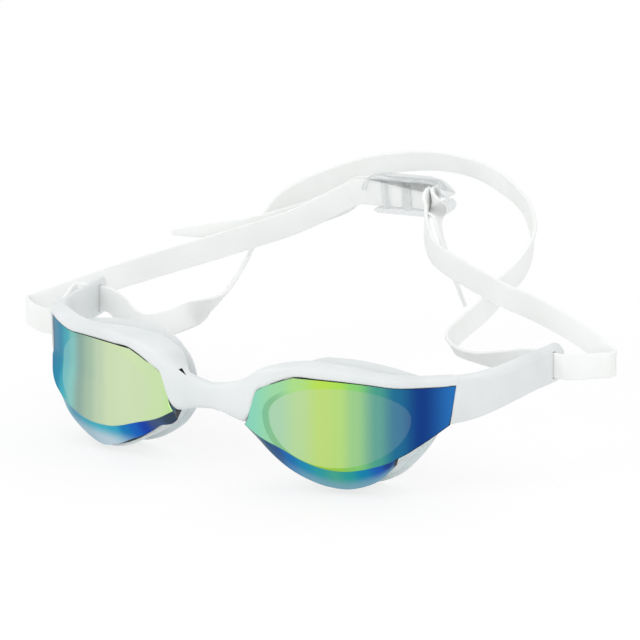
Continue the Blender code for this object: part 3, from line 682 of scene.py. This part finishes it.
def gasket(name, side, mat):
    cup = closed_outline(CUP_RUNS, FINER)
    front_out = offset_outline(cup, -0.5)
    rear_out = offset_outline(cup, SEAL_LIP)
    rear_in = relax(offset_outline(rear_out, -SEAL_LAND), SMOOTHING)
    front_in = relax(offset_outline(front_out, -LENS_WALL - 0.6), SMOOTHING)
    n = len(cup)
    verts = []
    faces = []
    starts = []

    def skirt(p):
        # The gasket reaches forward round the cup's wall on the temple side and below
        share = max(smooth_share(p[0], *SKIRT_X), smooth_share(p[1], *SKIRT_Z))
        room = seal_y(p[0]) - CUP_TO_SEAL - FIT - (lens_front_y(p[0]) + LENS_SHOULDER)
        return CUP_TO_SEAL - FIT + share * max(room, 0.6)

    # Outlines from the front round the outside and back inside, with their reach ahead of the seal
    plan = (
        (offset_outline(cup, -0.9), skirt),
        (offset_outline(cup, -0.1), skirt),
        (offset_outline(cup, 0.25), CUP_TO_SEAL - FIT),
        (offset_outline(cup, 0.32), CUP_TO_SEAL * 0.86),
        (offset_outline(cup, 0.45), CUP_TO_SEAL * 0.68),
        (offset_outline(cup, 0.6), CUP_TO_SEAL * 0.56),
        (offset_outline(cup, 0.3), CUP_TO_SEAL * 0.52),
        (offset_outline(cup, 0.35), CUP_TO_SEAL * 0.47),
        (offset_outline(cup, 0.95), CUP_TO_SEAL * 0.42),
        (offset_outline(cup, 1.5), CUP_TO_SEAL * 0.28),
        (rear_out, 0.9),
        (offset_outline(rear_out, -0.12), 0.4),
        (offset_outline(rear_out, -0.5), 0.05),
        (0.5 * (rear_out + rear_in), 0.0),
        (0.12 * rear_out + 0.88 * rear_in, 0.05),
        (0.03 * rear_out + 0.97 * rear_in, 0.3),
        (rear_in, 0.9),
        (0.3 * rear_in + 0.7 * front_in, CUP_TO_SEAL * 0.5),
        (front_in, CUP_TO_SEAL - FIT),
    )
    for outline, ahead in plan:
        starts.append(len(verts))
        for p in outline:
            reach = ahead(p) if callable(ahead) else ahead
            verts.append((side * p[0], seal_y(p[0]) - reach, p[1]))
    for i in range(len(starts)):
        bridge_loops(faces, starts[(i + 1) % len(starts)], starts[i], n)
    if side > 0:
        faces = [tuple(reversed(f)) for f in faces]
    return add_piece(name, verts, faces, [mat], sharp=40.0)


# Frame

def lip_y(x):
    return lens_front_y(x) - FRAME_LIP


# Each row: top point, bottom point, depth front to back, squareness of the section, share of the
# height lost at the back, and the heading of the path in plan in degrees, from the nose outwards
FRAME_INNER = [
    ((0.0, 0.4, -3.5), (0.0, 0.4, -11.5), 4.2, 2.6, 0.0, 0.0),
    ((4.5, 0.2, -2.7), (4.5, 0.2, -12.0), 4.4, 2.7, 0.0, 0.0),
    ((8.0, -0.1, -1.2), (7.8, -0.1, -12.9), 5.2, 3.0, 0.08, 0.0),
    ((10.6, -0.3, 0.6), (10.2, -0.3, -13.7), 8.6, 3.4, 0.25, 0.0),
    ((12.4, -0.5, 2.0), (12.1, -0.5, -13.8), 12.0, 3.6, 0.4, 0.0),
    ((14.2, -0.5, 3.3), (13.7, -0.5, -12.2), 13.6, 3.8, 0.43, 0.0),
    ((17.0, lip_y(15.5), 4.6), (16.5, lip_y(15.5), -3.5), 14.2, 3.8, 0.45, 3.0),
    ((19.8, lip_y(18.4), 5.6), (19.1, lip_y(18.4), -1.9), 14.6, 3.8, 0.42, 5.5),
    ((23.6, lip_y(22.4), 6.3), (21.8, lip_y(22.4), -0.35), 14.8, 3.8, 0.45, 8.5),
    ((28.5, lip_y(28.3), 6.9), (28.2, lip_y(28.3), 2.4), 15.0, 3.8, 0.66, 12.6),
    ((35.0, lip_y(35.0), 7.0), (35.0, lip_y(35.0), 2.28), 14.8, 3.8, 0.66, 17.8),
    ((41.4, lip_y(41.4), 6.7), (41.4, lip_y(41.4), 1.93), 14.0, 3.8, 0.64, 23.0),
    ((49.4, lip_y(49.4), 5.0), (49.4, lip_y(49.4), 1.15), 11.4, 3.8, 0.5, 29.9),
    ((56.0, lip_y(56.0), 3.4), (56.0, lip_y(56.0), 0.1), 8.6, 3.8, 0.25, 35.9),
    ((63.0, lip_y(63.0), 2.7), (63.0, lip_y(63.0), 0.0), 6.4, 4.0, 0.1, 42.8),
    ((68.4, lip_y(68.4), 2.4), (68.4, lip_y(68.4), -0.05), 5.4, 4.2, 0.0, 49.0),
    ((69.9, lip_y(69.9), 2.3), (69.6, lip_y(69.6), -0.1), 5.2, 4.2, 0.0, 50.8),
]
FRAME_ARM = [
    ((70.1, lip_y(70.1), 2.3), (68.4, lip_y(68.4), -12.2), 5.0, 4.4, 0.0, 51.5),
    ((71.6, 29.3, 2.1), (70.6, 28.8, -12.2), 4.9, 4.4, 0.0, 60.0),
    ((73.4, 33.4, 1.8), (72.9, 33.2, -12.0), 4.6, 4.4, 0.0, 67.0),
    ((75.8, 41.0, 1.4), (75.5, 41.0, -11.6), 4.0, 4.4, 0.0, 75.0),
    ((77.8, 51.0, 1.0), (77.6, 51.0, -11.3), 3.4, 4.4, 0.0, 79.0),
    ((79.1, SLOT_Y - 7.0, 0.7), (79.0, SLOT_Y - 7.0, -11.2), 3.1, 4.4, 0.0, 83.0),
    ((ARM_OUTER_X, SLOT_Y - 1.5, 0.5), (ARM_OUTER_X, SLOT_Y - 1.5, -11.3), 3.0, 4.4, 0.0, 86.0),
    ((80.1, SLOT_Y + 3.0, 0.3), (80.1, SLOT_Y + 3.0, -11.2), 3.0, 4.2, 0.0, 88.0),
    ((80.2, SLOT_Y + 4.8, -0.4), (80.2, SLOT_Y + 4.8, -10.7), 2.7, 3.6, 0.0, 89.0),
    ((80.1, SLOT_Y + 5.7, -1.5), (80.1, SLOT_Y + 5.7, -9.6), 1.8, 3.0, 0.0, 90.0),
]
SECTION = 40
FRAME_STEPS = 5
FRAME_SHARP = 50.0
# The arm's outer face gets a sloping band along its top over this span of y, from this share of its height
ARM_BAND_Y = (28.0, 42.0)
ARM_BAND = 0.62


def frame_piece(name, mat):
    # Columns: top, bottom, depth, squareness, loss at the back, heading and share of the arm's band
    inner = spline([list(t) + list(b) + [d, p, f, h, 0.0] for t, b, d, p, f, h in FRAME_INNER], FRAME_STEPS)
    arm = spline([list(t) + list(b) + [d, p, f, h, even_share(t[1], *ARM_BAND_Y)]
                  for t, b, d, p, f, h in FRAME_ARM], FRAME_STEPS)
    gap = [inner[-1] + (arm[0] - inner[-1]) * k for k in (0.34, 0.67)]
    right = np.vstack([inner, np.array(gap), arm])
    left = right[1:].copy()[::-1]
    left[:, 0] *= -1.0
    left[:, 3] *= -1.0
    left[:, 9] *= -1.0
    stations = np.vstack([left, right])
    n = len(stations)
    verts = []
    faces = []
    for i in range(n):
        heading = math.radians(stations[i, 9])
        inward = np.array([-math.sin(heading), math.cos(heading), 0.0])
        lift = math.copysign(ARM_TWIST, stations[i, 0]) * smooth_share(stations[i, 1], ARM_ROOT_Y, SLOT_Y)
        top = stations[i, 0:3] + np.array((0.0, 0.0, lift))
        bottom = stations[i, 3:6] + np.array((0.0, 0.0, lift))
        depth, power, fall = stations[i, 6:9]
        arm_part = stations[i, 10]
        for k in range(SECTION):
            ang = 2.0 * math.pi * (k + 0.5) / SECTION
            c = math.cos(ang)
            s = math.sin(ang)
            a = math.copysign(abs(c) ** (2.0 / power), c)
            b = math.copysign(abs(s) ** (2.0 / power), s)
            band = ARM_BAND + (1.0 - ARM_BAND) * (a + 1.0) / 1.1
            b = b + arm_part * min(0.0, band - b)
            back = (a + 1.0) * 0.5
            high = (b + 1.0) * 0.5 * (1.0 - fall * back)
            verts.append(tuple(bottom + (top - bottom) * high + inward * depth * back))
    for i in range(n - 1):
        for k in range(SECTION):
            j = (k + 1) % SECTION
            faces.append((i * SECTION + k, i * SECTION + j, (i + 1) * SECTION + j, (i + 1) * SECTION + k))
    faces.append(tuple(reversed(range(SECTION))))
    faces.append(tuple((n - 1) * SECTION + k for k in range(SECTION)))
    return add_piece(name, verts, faces, [mat], sharp=FRAME_SHARP)


# Clip and strap

WRAP_RADIUS = STRAP_THICK * 0.5 + FIT + CLIP_BAR * 0.5
FRONT_BAR_BACK = -(WRAP_RADIUS + STRAP_THICK * 0.5 + FIT)
CLIP_FRONT = FRONT_BAR_BACK - CLIP_BAR
CLIP_BACK = WRAP_RADIUS + STRAP_THICK * 0.5 + FIT
CLIP_BOX_HALF = STRAP_WIDTH * 0.5 + FIT


def clip_point(x, y, z):
    c = math.cos(CLIP_TILT)
    s = math.sin(CLIP_TILT)
    return (CLIP_CENTRE[0] + c * x - s * z, CLIP_CENTRE[1] + y, CLIP_CENTRE[2] + s * x + c * z)


def clip_row(x, y, z=0.0):
    return clip_point(x, y, z) + (-math.sin(CLIP_TILT), 0.0, math.cos(CLIP_TILT))


# Clip outlines, along and up: two rails that end in prongs on the right
CLIP_TOP = [
    (-13.0, 1.0), (-12.6, 3.0), (-11.4, 4.25), (10.6, 4.25), (12.0, 3.0), (12.3, 0.5), (15.6, 0.5),
    (15.5, 1.5), (12.4, 4.3), (10.4, 5.0), (7.5, 5.5), (-6.8, 5.8), (-12.2, 5.0), (-13.7, 3.0), (-14.2, 1.0),
]
CLIP_BOTTOM = [
    (-10.2, -4.25), (-10.5, -5.0), (-9.2, -5.7), (6.0, -5.9), (12.5, -5.9), (15.0, -4.1), (15.8, -2.3),
    (14.6, -0.8), (12.4, -0.9), (12.0, -3.2), (10.8, -4.25),
]
CLIP_EDGE = 0.00032
CLIP_FRONT_BARS = ((-7.3, -5.3), (0.1, 2.6))
CLIP_MIDDLE_BARS = ((-10.2, -9.0), (-4.0, -2.0), (2.0, 4.0))


def clip_piece(name, mat):
    verts = []
    faces = []

    def prism(outline, near, far):
        start = len(verts)
        n = len(outline)
        for y in (near, far):
            for x, z in outline:
                verts.append(clip_point(x, y, z))
        faces.append(tuple(start + i for i in range(n)))
        faces.append(tuple(start + n + i for i in reversed(range(n))))
        for i in range(n):
            j = (i + 1) % n
            faces.append((start + i, start + n + i, start + n + j, start + j))

    def upright(ends, near, far):
        high = CLIP_BOX_HALF + 0.2
        prism([(ends[0], -high), (ends[1], -high), (ends[1], high), (ends[0], high)], near, far)

    prism(CLIP_TOP, CLIP_FRONT, CLIP_BACK)
    prism(CLIP_BOTTOM, CLIP_FRONT, CLIP_BACK)
    for ends in CLIP_FRONT_BARS:
        upright(ends, CLIP_FRONT + 0.1, FRONT_BAR_BACK)
    for ends in CLIP_MIDDLE_BARS:
        upright(ends, -CLIP_BAR * 0.5, CLIP_BAR * 0.5)
    obj = add_piece(name, verts, faces, [mat], sharp=30.0)
    bevel = obj.modifiers.new("edges", "BEVEL")
    bevel.width = CLIP_EDGE
    bevel.segments = 3
    bevel.limit_method = "ANGLE"
    return obj


def wrap_rows(side):
    rows = []
    for ang in (-90.0, -60.0, -30.0, 0.0, 30.0, 60.0, 90.0):
        a = math.radians(ang)
        rows.append(clip_row(side * (CLIP_WRAP_X - WRAP_RADIUS * math.cos(a)), WRAP_RADIUS * math.sin(a)))
    return rows


# Strap rows from its left tip to its right tip: a point on the middle, and the direction of the width
LEFT_END = [
    (-69.5, 98.6, 2.3) + UP,
    (-59.0, 102.4, 4.9) + UP,
    (-47.5, 106.2, 7.6) + UP,
    (-35.5, 112.9, 11.6) + UP,
    (-23.5, 119.6, 16.6) + UP,
    clip_row(-17.5, WRAP_RADIUS + 0.1),
    clip_row(-12.0, WRAP_RADIUS),
    clip_row(-7.0, WRAP_RADIUS),
] + wrap_rows(-1.0)[::-1] + [
    clip_row(-7.0, -WRAP_RADIUS),
    clip_row(-12.0, -WRAP_RADIUS),
    clip_row(-15.5, -WRAP_RADIUS),
    clip_row(-16.8, -WRAP_RADIUS - 0.2, -0.2),
]
LEFT_RUN = [
    clip_row(CLIP_CUT_LEFT, -WRAP_RADIUS - 0.9, -1.0),
    (-32.0, 108.6, 12.6) + UP,
    (-46.6, 99.2, 6.8) + UP,
    (-67.0, 86.8, -0.6) + UP,
    (-82.4, 77.6, -6.4) + UP,
    (-100.2, 68.6, -14.2) + UP,
    (-101.6, 67.7, -14.7) + UP,
    (-101.9, 66.4, -15.0) + UP,
    (-101.0, 65.2, -15.3) + UP,
    (-98.5, 63.6, -15.7) + UP,
    (-92.6, 60.8, -15.6) + UP,
    (-88.4, 59.4, -14.6) + UP,
    (-86.0, 60.2, -12.4) + UP,
    (-85.2, 62.6, -9.8) + UP,
    (-85.1, 65.2, -8.4) + UP,
    (-84.6, 66.7, SLOT_LEFT - 0.1) + UP,
    (-83.4, SLOT_Y, SLOT_LEFT) + UP,
]
INNER_RUN = [
    (-74.6, SLOT_Y, SLOT_LEFT) + UP,
    (-73.0, SLOT_Y, SLOT_LEFT - 0.2) + UP,
    (-71.0, 66.95, -9.0) + UP,
    (-68.4, 66.9, -11.2) + UP,
    (-65.2, 66.8, -13.2) + UP,
    (-60.6, 66.5, -14.2) + (0.0, 0.15, 0.98),
    (-52.0, 66.8, -11.4) + (0.1, 0.35, 0.93),
    (-46.0, 69.2, -8.4) + (0.3, 0.45, 0.84),
    (-42.8, 74.0, -6.9) + (0.5, 0.3, 0.8),
    (-42.4, 80.0, -5.9) + (0.62, 0.05, 0.78),
    (-43.8, 88.0, -4.5) + (0.62, 0.0, 0.78),
    (-46.6, 99.2, -2.8) + (0.55, 0.0, 0.83),
    (-48.0, 105.2, -1.2) + (0.5, -0.05, 0.86),
    (-49.0, 110.6, 1.3) + (0.4, -0.1, 0.9),
    (-49.0, 116.0, 5.6) + (0.3, -0.15, 0.93),
    (-46.0, 121.2, 11.2) + (0.2, -0.2, 0.95),
    (-38.6, 125.4, 16.8) + (0.15, -0.3, 0.94),
    (-29.0, 128.4, 21.6) + (0.1, -0.36, 0.92),
    (-18.0, 130.4, 26.0) + (0.05, -0.42, 0.9),
    (-6.0, 131.2, 29.2) + (0.0, -0.46, 0.88),
    (6.0, 130.6, 31.0) + (0.0, -0.47, 0.88),
    (18.0, 128.4, 31.2) + (0.0, -0.42, 0.9),
    (28.1, 125.0, 30.0) + (0.1, -0.28, 0.96),
    (37.0, 121.2, 27.2) + (0.2, -0.4, 0.9),
    (42.2, 118.5, 23.9) + (0.43, -0.44, 0.79),
    (45.6, 115.2, 19.2) + (0.52, -0.6, 0.6),
    (46.0, 112.0, 14.2) + (0.24, -0.8, 0.55),
    (44.8, 108.0, 9.2) + (-0.06, -0.69, 0.72),
    (42.6, 103.0, 5.3) + (-0.12, -0.53, 0.84),
    (41.2, 97.0, 1.7) + (-0.08, -0.25, 0.97),
    (40.9, 91.0, -0.3) + UP,
    (40.8, 85.0, -1.3) + UP,
    (40.7, 79.0, -2.4) + (0.0, -0.05, 1.0),
    (41.0, 74.4, -3.3) + (-0.12, -0.2, 0.96),
    (42.6, 70.8, -4.1) + (-0.2, -0.5, 0.83),
    (46.4, 68.3, -4.9) + (-0.05, -0.72, 0.68),
    (53.6, 67.0, -5.4) + (0.0, -0.74, 0.67),
    (63.6, 66.7, -4.6) + (0.0, -0.4, 0.92),
    (71.6, SLOT_Y, SLOT_RIGHT) + UP,
    (74.6, SLOT_Y, SLOT_RIGHT) + UP,
]
RIGHT_RUN = [
    (83.0, SLOT_Y, SLOT_RIGHT) + UP,
    (84.2, SLOT_Y, SLOT_RIGHT + 0.1) + UP,
    (87.4, 66.7, -2.7) + UP,
    (92.6, 66.4, -1.4) + UP,
    (97.0, 66.2, -0.4) + UP,
    (98.9, 66.8, -0.1) + UP,
    (99.5, 68.0, 0.1) + UP,
    (98.9, 69.2, 0.4) + UP,
    (97.2, 69.9, 1.0) + UP,
    (84.8, 74.6, 4.6) + UP,
    (66.3, 81.2, 7.5) + UP,
    (48.9, 88.5, 8.1) + UP,
    (31.8, 96.5, 9.6) + UP,
    (23.4, 100.4, 10.6) + UP,
    (17.0, 104.4, 12.0) + (0.12, -0.12, 0.98),
]
RIGHT_END = [
    (13.4, 107.8, 14.8) + (0.2, -0.2, 0.96),
    (11.4, 110.4, 18.2) + (0.12, -0.2, 0.97),
    (10.4, 112.6, 21.6) + UP,
    clip_row(10.0, -5.2),
    clip_row(9.9, -4.2),
    clip_row(9.5, -2.9),
    clip_row(8.7, -1.9),
    clip_row(7.2, -WRAP_RADIUS),
    clip_row(5.2, -WRAP_RADIUS),
] + wrap_rows(1.0) + [
    clip_row(5.6, WRAP_RADIUS),
    clip_row(8.4, WRAP_RADIUS),
    clip_row(9.9, WRAP_RADIUS - 0.4),
    clip_row(10.9, WRAP_RADIUS - 1.7),
    clip_row(11.1, -2.2),
    clip_row(11.2, -3.9),
    (12.3, 113.6, 22.6) + (-0.2, 0.35, 0.9),
    (13.9, 112.2, 20.0) + (-0.4, 0.7, 0.6),
    (15.2, 111.2, 17.0) + (-0.47, 0.82, 0.32),
    (16.6, 110.6, 13.6) + (-0.5, 0.86, 0.1),
    (19.0, 110.6, 7.0) + (-0.5, 0.86, 0.1),
    (21.8, 110.8, 0.0) + (-0.5, 0.86, 0.0),
    (24.6, 110.6, -6.6) + (-0.5, 0.86, 0.0),
]


def strap_route():
    half = 0.5 * (STUB_OUT_X + STUB_IN_X)
    rows = list(LEFT_END)
    marks = [0, len(rows)]
    rows += LEFT_RUN
    marks.append(len(rows))
    rows += [(-STUB_OUT_X, SLOT_Y, SLOT_LEFT) + UP, (-half, SLOT_Y, SLOT_LEFT) + UP]
    marks.append(len(rows))
    rows += [(-STUB_IN_X, SLOT_Y, SLOT_LEFT) + UP] + INNER_RUN
    marks.append(len(rows))
    rows += [(STUB_IN_X, SLOT_Y, SLOT_RIGHT) + UP, (half, SLOT_Y, SLOT_RIGHT) + UP]
    marks.append(len(rows))
    rows += [(STUB_OUT_X, SLOT_Y, SLOT_RIGHT) + UP] + RIGHT_RUN
    marks.append(len(rows))
    rows += RIGHT_END
    marks.append(len(rows) - 1)
    return rows, marks


# Steps between two rows, steps in the tapered tips and their last width, and the radius of the edges
STEPS = 6
TAPER = 12
TIP_WIDTH = 0.2
EDGE = 0.35


def strap_shape():
    """Cross-section of the strap with rounded edges, as width and thickness."""
    hw = STRAP_WIDTH * 0.5
    ht = STRAP_THICK * 0.5
    shape = []
    for cw, ct, start in ((hw - EDGE, ht - EDGE, 0.0), (EDGE - hw, ht - EDGE, 90.0),
                          (EDGE - hw, EDGE - ht, 180.0), (hw - EDGE, EDGE - ht, 270.0)):
        for step in (0.0, 30.0, 60.0, 90.0):
            ang = math.radians(start + step)
            shape.append((cw + EDGE * math.cos(ang), ct + EDGE * math.sin(ang)))
    return shape


def ribbon(name, path, first, last, mat, tip_start, tip_end):
    shape = strap_shape()
    count = len(shape)
    half_w = STRAP_WIDTH * 0.5
    n = last - first + 1
    verts = []
    faces = []
    for i in range(first, last + 1):
        ahead = path[min(i + 1, len(path) - 1), 0:3] - path[max(i - 1, 0), 0:3]
        ahead = ahead / np.linalg.norm(ahead)
        wide = path[i, 3:6]
        wide = wide - ahead * np.dot(wide, ahead)
        wide = wide / np.linalg.norm(wide)
        flat = np.cross(ahead, wide)
        keep = 1.0
        if tip_end and i > last - TAPER:
            keep = TIP_WIDTH + (1.0 - TIP_WIDTH) * (last - i) / TAPER
        if tip_start and i < first + TAPER:
            keep = TIP_WIDTH + (1.0 - TIP_WIDTH) * (i - first) / TAPER
        shift = (1.0 - keep) * half_w
        for w, t in shape:
            verts.append(tuple(path[i, 0:3] + wide * (w * keep + shift) + flat * t))
    for i in range(n - 1):
        for k in range(count):
            j = (k + 1) % count
            faces.append((i * count + k, i * count + j, (i + 1) * count + j, (i + 1) * count + k))
    faces.append(tuple(reversed(range(count))))
    faces.append(tuple((n - 1) * count + k for k in range(count)))
    return add_piece(name, verts, faces, [mat], sharp=40.0)


# Build the pieces

white_frame = moulded_rubber("white_frame_rubber", srgb(225, 229, 230), srgb(234, 237, 238),
                             0.34, 0.46, 0.08, 900.0)
white_strap = moulded_rubber("white_strap_silicone", srgb(245, 247, 245), srgb(251, 253, 252),
                             0.42, 0.58, 0.08, 1200.0)
seal = silicone_seal("translucent_silicone")
smoke = smoke_plastic("dark_smoke_lens_body")
clear = clear_plastic("clear_polycarbonate")

# The lenses' colours: the coating's own tint with painted reflections, and the oval painted as seen through
# the lens
coat_reflection_right = lens_coat_painted_light("mirror_coating_reflection_right", 1.0, [
    (0.03, srgb(146, 208, 188)), (0.2, srgb(164, 212, 168)), (0.3, srgb(177, 217, 144)),
    (0.42, srgb(185, 219, 95)), (0.5, srgb(176, 218, 98)), (0.58, srgb(146, 205, 126)),
    (0.68, srgb(84, 164, 148)), (0.76, srgb(38, 120, 155)), (0.86, srgb(18, 68, 142)),
    (1.0, srgb(46, 126, 188)),
], (40.0, -9.3, 19.6, 9.5, 15.2), 1.0, 0.55, 0.0)
coat_reflection_left = lens_coat_painted_light("mirror_coating_reflection_left", -1.0, [
    (0.0, srgb(184, 220, 154)), (0.08, srgb(198, 220, 176)), (0.3, srgb(203, 221, 180)),
    (0.42, srgb(202, 219, 180)), (0.5, srgb(190, 208, 178)), (0.58, srgb(170, 192, 170)),
    (0.66, srgb(150, 176, 164)), (0.73, srgb(142, 196, 188)), (0.8, srgb(86, 178, 190)),
    (0.87, srgb(50, 148, 176)), (1.0, srgb(30, 122, 164)),
], (40.2, -9.3, 20.2, 11.0, 16.6), 0.4, 0.0, 0.5)
# The bevels' colours: the coating's own tint with painted reflections
bevel_reflection_right = bevel_coat("bevel_coating_reflection_right", 1.0, [
    (0.0, srgb(38, 52, 74)), (0.08, srgb(46, 64, 96)), (0.16, srgb(52, 82, 140)),
    (0.235, srgb(30, 110, 182)), (0.31, srgb(28, 142, 184)), (0.39, srgb(46, 160, 166)),
    (0.465, srgb(70, 168, 146)), (0.535, srgb(42, 158, 156)), (0.6, srgb(14, 134, 176)),
    (0.67, srgb(28, 90, 182)), (0.71, srgb(26, 58, 134)),
], srgb(130, 172, 190), (1.6, 4.2), 20.0, False)
bevel_reflection_left = bevel_coat("bevel_coating_reflection_left", -1.0, [
    (0.05, srgb(52, 62, 84)), (0.13, srgb(66, 76, 128)), (0.19, srgb(12, 56, 172)),
    (0.255, srgb(14, 98, 196)), (0.32, srgb(16, 126, 192)), (0.386, srgb(58, 172, 202)),
    (0.457, srgb(70, 182, 200)), (0.53, srgb(74, 184, 203)), (0.61, srgb(64, 176, 200)),
    (0.7, srgb(44, 146, 184)), (0.78, srgb(92, 184, 200)),
], srgb(206, 218, 228), (-24.4, -29.6), 25.0, True)

goggle_frame = frame_piece("frame_shell", white_frame)
# Slots for the strap; the faces of a box go by the numbers of its corners
QUADS = [(0, 1, 3, 2), (4, 6, 7, 5), (0, 4, 5, 1), (2, 3, 7, 6), (0, 2, 6, 4), (1, 5, 7, 3)]
for side, label, level in ((-1.0, "left", SLOT_LEFT), (1.0, "right", SLOT_RIGHT)):
    deep = STRAP_THICK * 0.5 + FIT
    high = STRAP_WIDTH * 0.5 + FIT
    corners = []
    for x in (STUB_IN_X - 1.0, STUB_OUT_X + 1.0):
        for y in (-deep, deep):
            for z in (-high, high):
                corners.append((side * x, SLOT_Y + y, level + z))
    quads = QUADS if side > 0 else [tuple(reversed(q)) for q in QUADS]
    carve(goggle_frame, "slot_" + label, corners, quads, FRAME_SHARP)

# Small opening beside the bridge; a dark piece of the lens plastic just behind it stands for the lens body
# and, as painted shade, for the shade inside the hole
OPENING = ((-10.6, 0.8, -0.75), (-10.4, 2.5, -0.73), (-7.8, 0.73, -2.14))
INWARD = np.array((-0.476, 0.824, -0.309))
WEDGE = [(2, 1, 0), (3, 4, 5), (1, 4, 3, 0), (2, 5, 4, 1), (0, 3, 5, 2)]
wedge = [tuple(np.array(p) + INWARD * d) for d in (-1.2, 1.2) for p in OPENING]
carve(goggle_frame, "opening", wedge, WEDGE, FRAME_SHARP)
heart = np.mean(np.array(OPENING), axis=0)
# Dark backing: the lens body behind the opening and painted shade in the hole
lug = [tuple(heart + (np.array(p) - heart) * 1.3 + INWARD * d) for d in (0.7, 1.9) for p in OPENING]
hole_backing = add_piece("dark_backing_left", lug, WEDGE, [smoke], sharp=30.0)
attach(hole_backing, "front")
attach(goggle_frame, "front")
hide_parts("frame")

LENS_COATS = (("left", -1.0, coat_reflection_left, bevel_reflection_left), ("right", 1.0, coat_reflection_right, bevel_reflection_right))
for label, side, coat, bevel in LENS_COATS:
    lens = lens_cup("lens_cup_" + label, side, [coat, bevel, smoke, seal])
    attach(lens, "front")
    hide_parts("lens_" + label)
    ring = gasket("soft_gasket_" + label, side, seal)
    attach(ring, "front")
    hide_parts("gasket_" + label)

clip = clip_piece("clear_clip_body", clear)
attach(clip, "upper_strap")
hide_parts("strap_clip")

STRETCHES = (
    ("strap_end_left", "upper_strap"), ("strap_outer_left", "upper_strap"), ("strap_slot_left", "front"),
    ("strap_inner", "lower_strap"), ("strap_slot_right", "front"), ("strap_outer_right", "upper_strap"),
    ("strap_end_right", "upper_strap"),
)
rows, marks = strap_route()
path = spline(rows, STEPS)
for spot, (node, body) in enumerate(STRETCHES):
    piece = ribbon("band_" + node, path, marks[spot] * STEPS, marks[spot + 1] * STEPS, white_strap,
                   spot == 0, spot == len(STRETCHES) - 1)
    if node in ("strap_outer_left", "strap_outer_right", "strap_inner"):
        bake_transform(piece)
    else:
        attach(piece, body)
    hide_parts(node)

# Floor, light and camera

low_z = min(v.co.z for v in goggle_frame.data.vertices)
low_z = min(low_z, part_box("lens_left")[0][2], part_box("gasket_left")[0][2])
floor_mesh = bpy.data.meshes.new("studio_floor")
floor_corners = [(FLOOR_REACH * x, FLOOR_REACH * y, low_z) for x, y in ((-1, -1), (1, -1), (1, 1), (-1, 1))]
floor_mesh.from_pydata(floor_corners, [], [(0, 1, 2, 3)])
floor = bpy.data.objects.new("studio_floor", floor_mesh)
bpy.context.scene.collection.objects.link(floor)
floor_mat, floor_tree, floor_shader = new_material("studio_floor_white")
floor_shader.inputs["Base Color"].default_value = FLOOR_COLOUR
floor_shader.inputs["Roughness"].default_value = 0.9
floor_shader.inputs["Specular IOR Level"].default_value = 0.0
glow = floor_tree.nodes.new("ShaderNodeEmission")
glow.inputs["Strength"].default_value = FLOOR_GLOW
share = math_node(floor_tree, "MULTIPLY", seen_directly(floor_tree), FLOOR_GLOW_SHARE)
mix = floor_tree.nodes.new("ShaderNodeMixShader")
floor_tree.links.new(share, mix.inputs[0])
floor_tree.links.new(floor_shader.outputs[0], mix.inputs[1])
floor_tree.links.new(glow.outputs[0], mix.inputs[2])
floor_tree.links.new(mix.outputs[0], floor_tree.nodes["Material Output"].inputs["Surface"])
floor_mesh.materials.append(floor_mat)

scene = bpy.context.scene
world_set = bpy.data.worlds.new("studio")
scene.world = world_set
world_set.use_nodes = True
wt = world_set.node_tree
background = wt.nodes["Background"]
background.inputs["Color"].default_value = (1.0, 1.0, 1.0, 1.0)
strength = map_range(wt, seen_directly(wt), 0.0, 1.0, WORLD_LIGHT, WORLD_SEEN)
wt.links.new(strength, background.inputs["Strength"])


def area_light(name, place, aim, size, power):
    data = bpy.data.lights.new(name, "AREA")
    data.shape = "DISK"
    data.size = size
    data.energy = power
    lamp = bpy.data.objects.new(name, data)
    lamp.location = place
    lamp.rotation_euler = (Vector(aim) - Vector(place)).to_track_quat("-Z", "Y").to_euler()
    scene.collection.objects.link(lamp)


centre = Vector(world(CAMERA_TARGET))
for label, place, size, power in LAMPS:
    area_light(label, place, centre, size, power)

az = math.radians(CAMERA_AZIMUTH)
el = math.radians(CAMERA_ELEVATION)
toward = Vector((math.sin(az) * math.cos(el), -math.cos(az) * math.cos(el), math.sin(el)))
cam_data = bpy.data.cameras.new("photo_camera")
cam_data.sensor_width = SENSOR_WIDTH
cam_data.lens = SENSOR_WIDTH * CAMERA_DISTANCE / VIEW_WIDTH
cam_data.clip_start = 0.05
cam_data.clip_end = 20.0
camera = bpy.data.objects.new("photo_camera", cam_data)
camera.location = centre + toward * CAMERA_DISTANCE * MM
camera.rotation_euler = (-toward).to_track_quat("-Z", "Y").to_euler()
scene.collection.objects.link(camera)
scene.camera = camera

scene.view_settings.view_transform = "Standard"
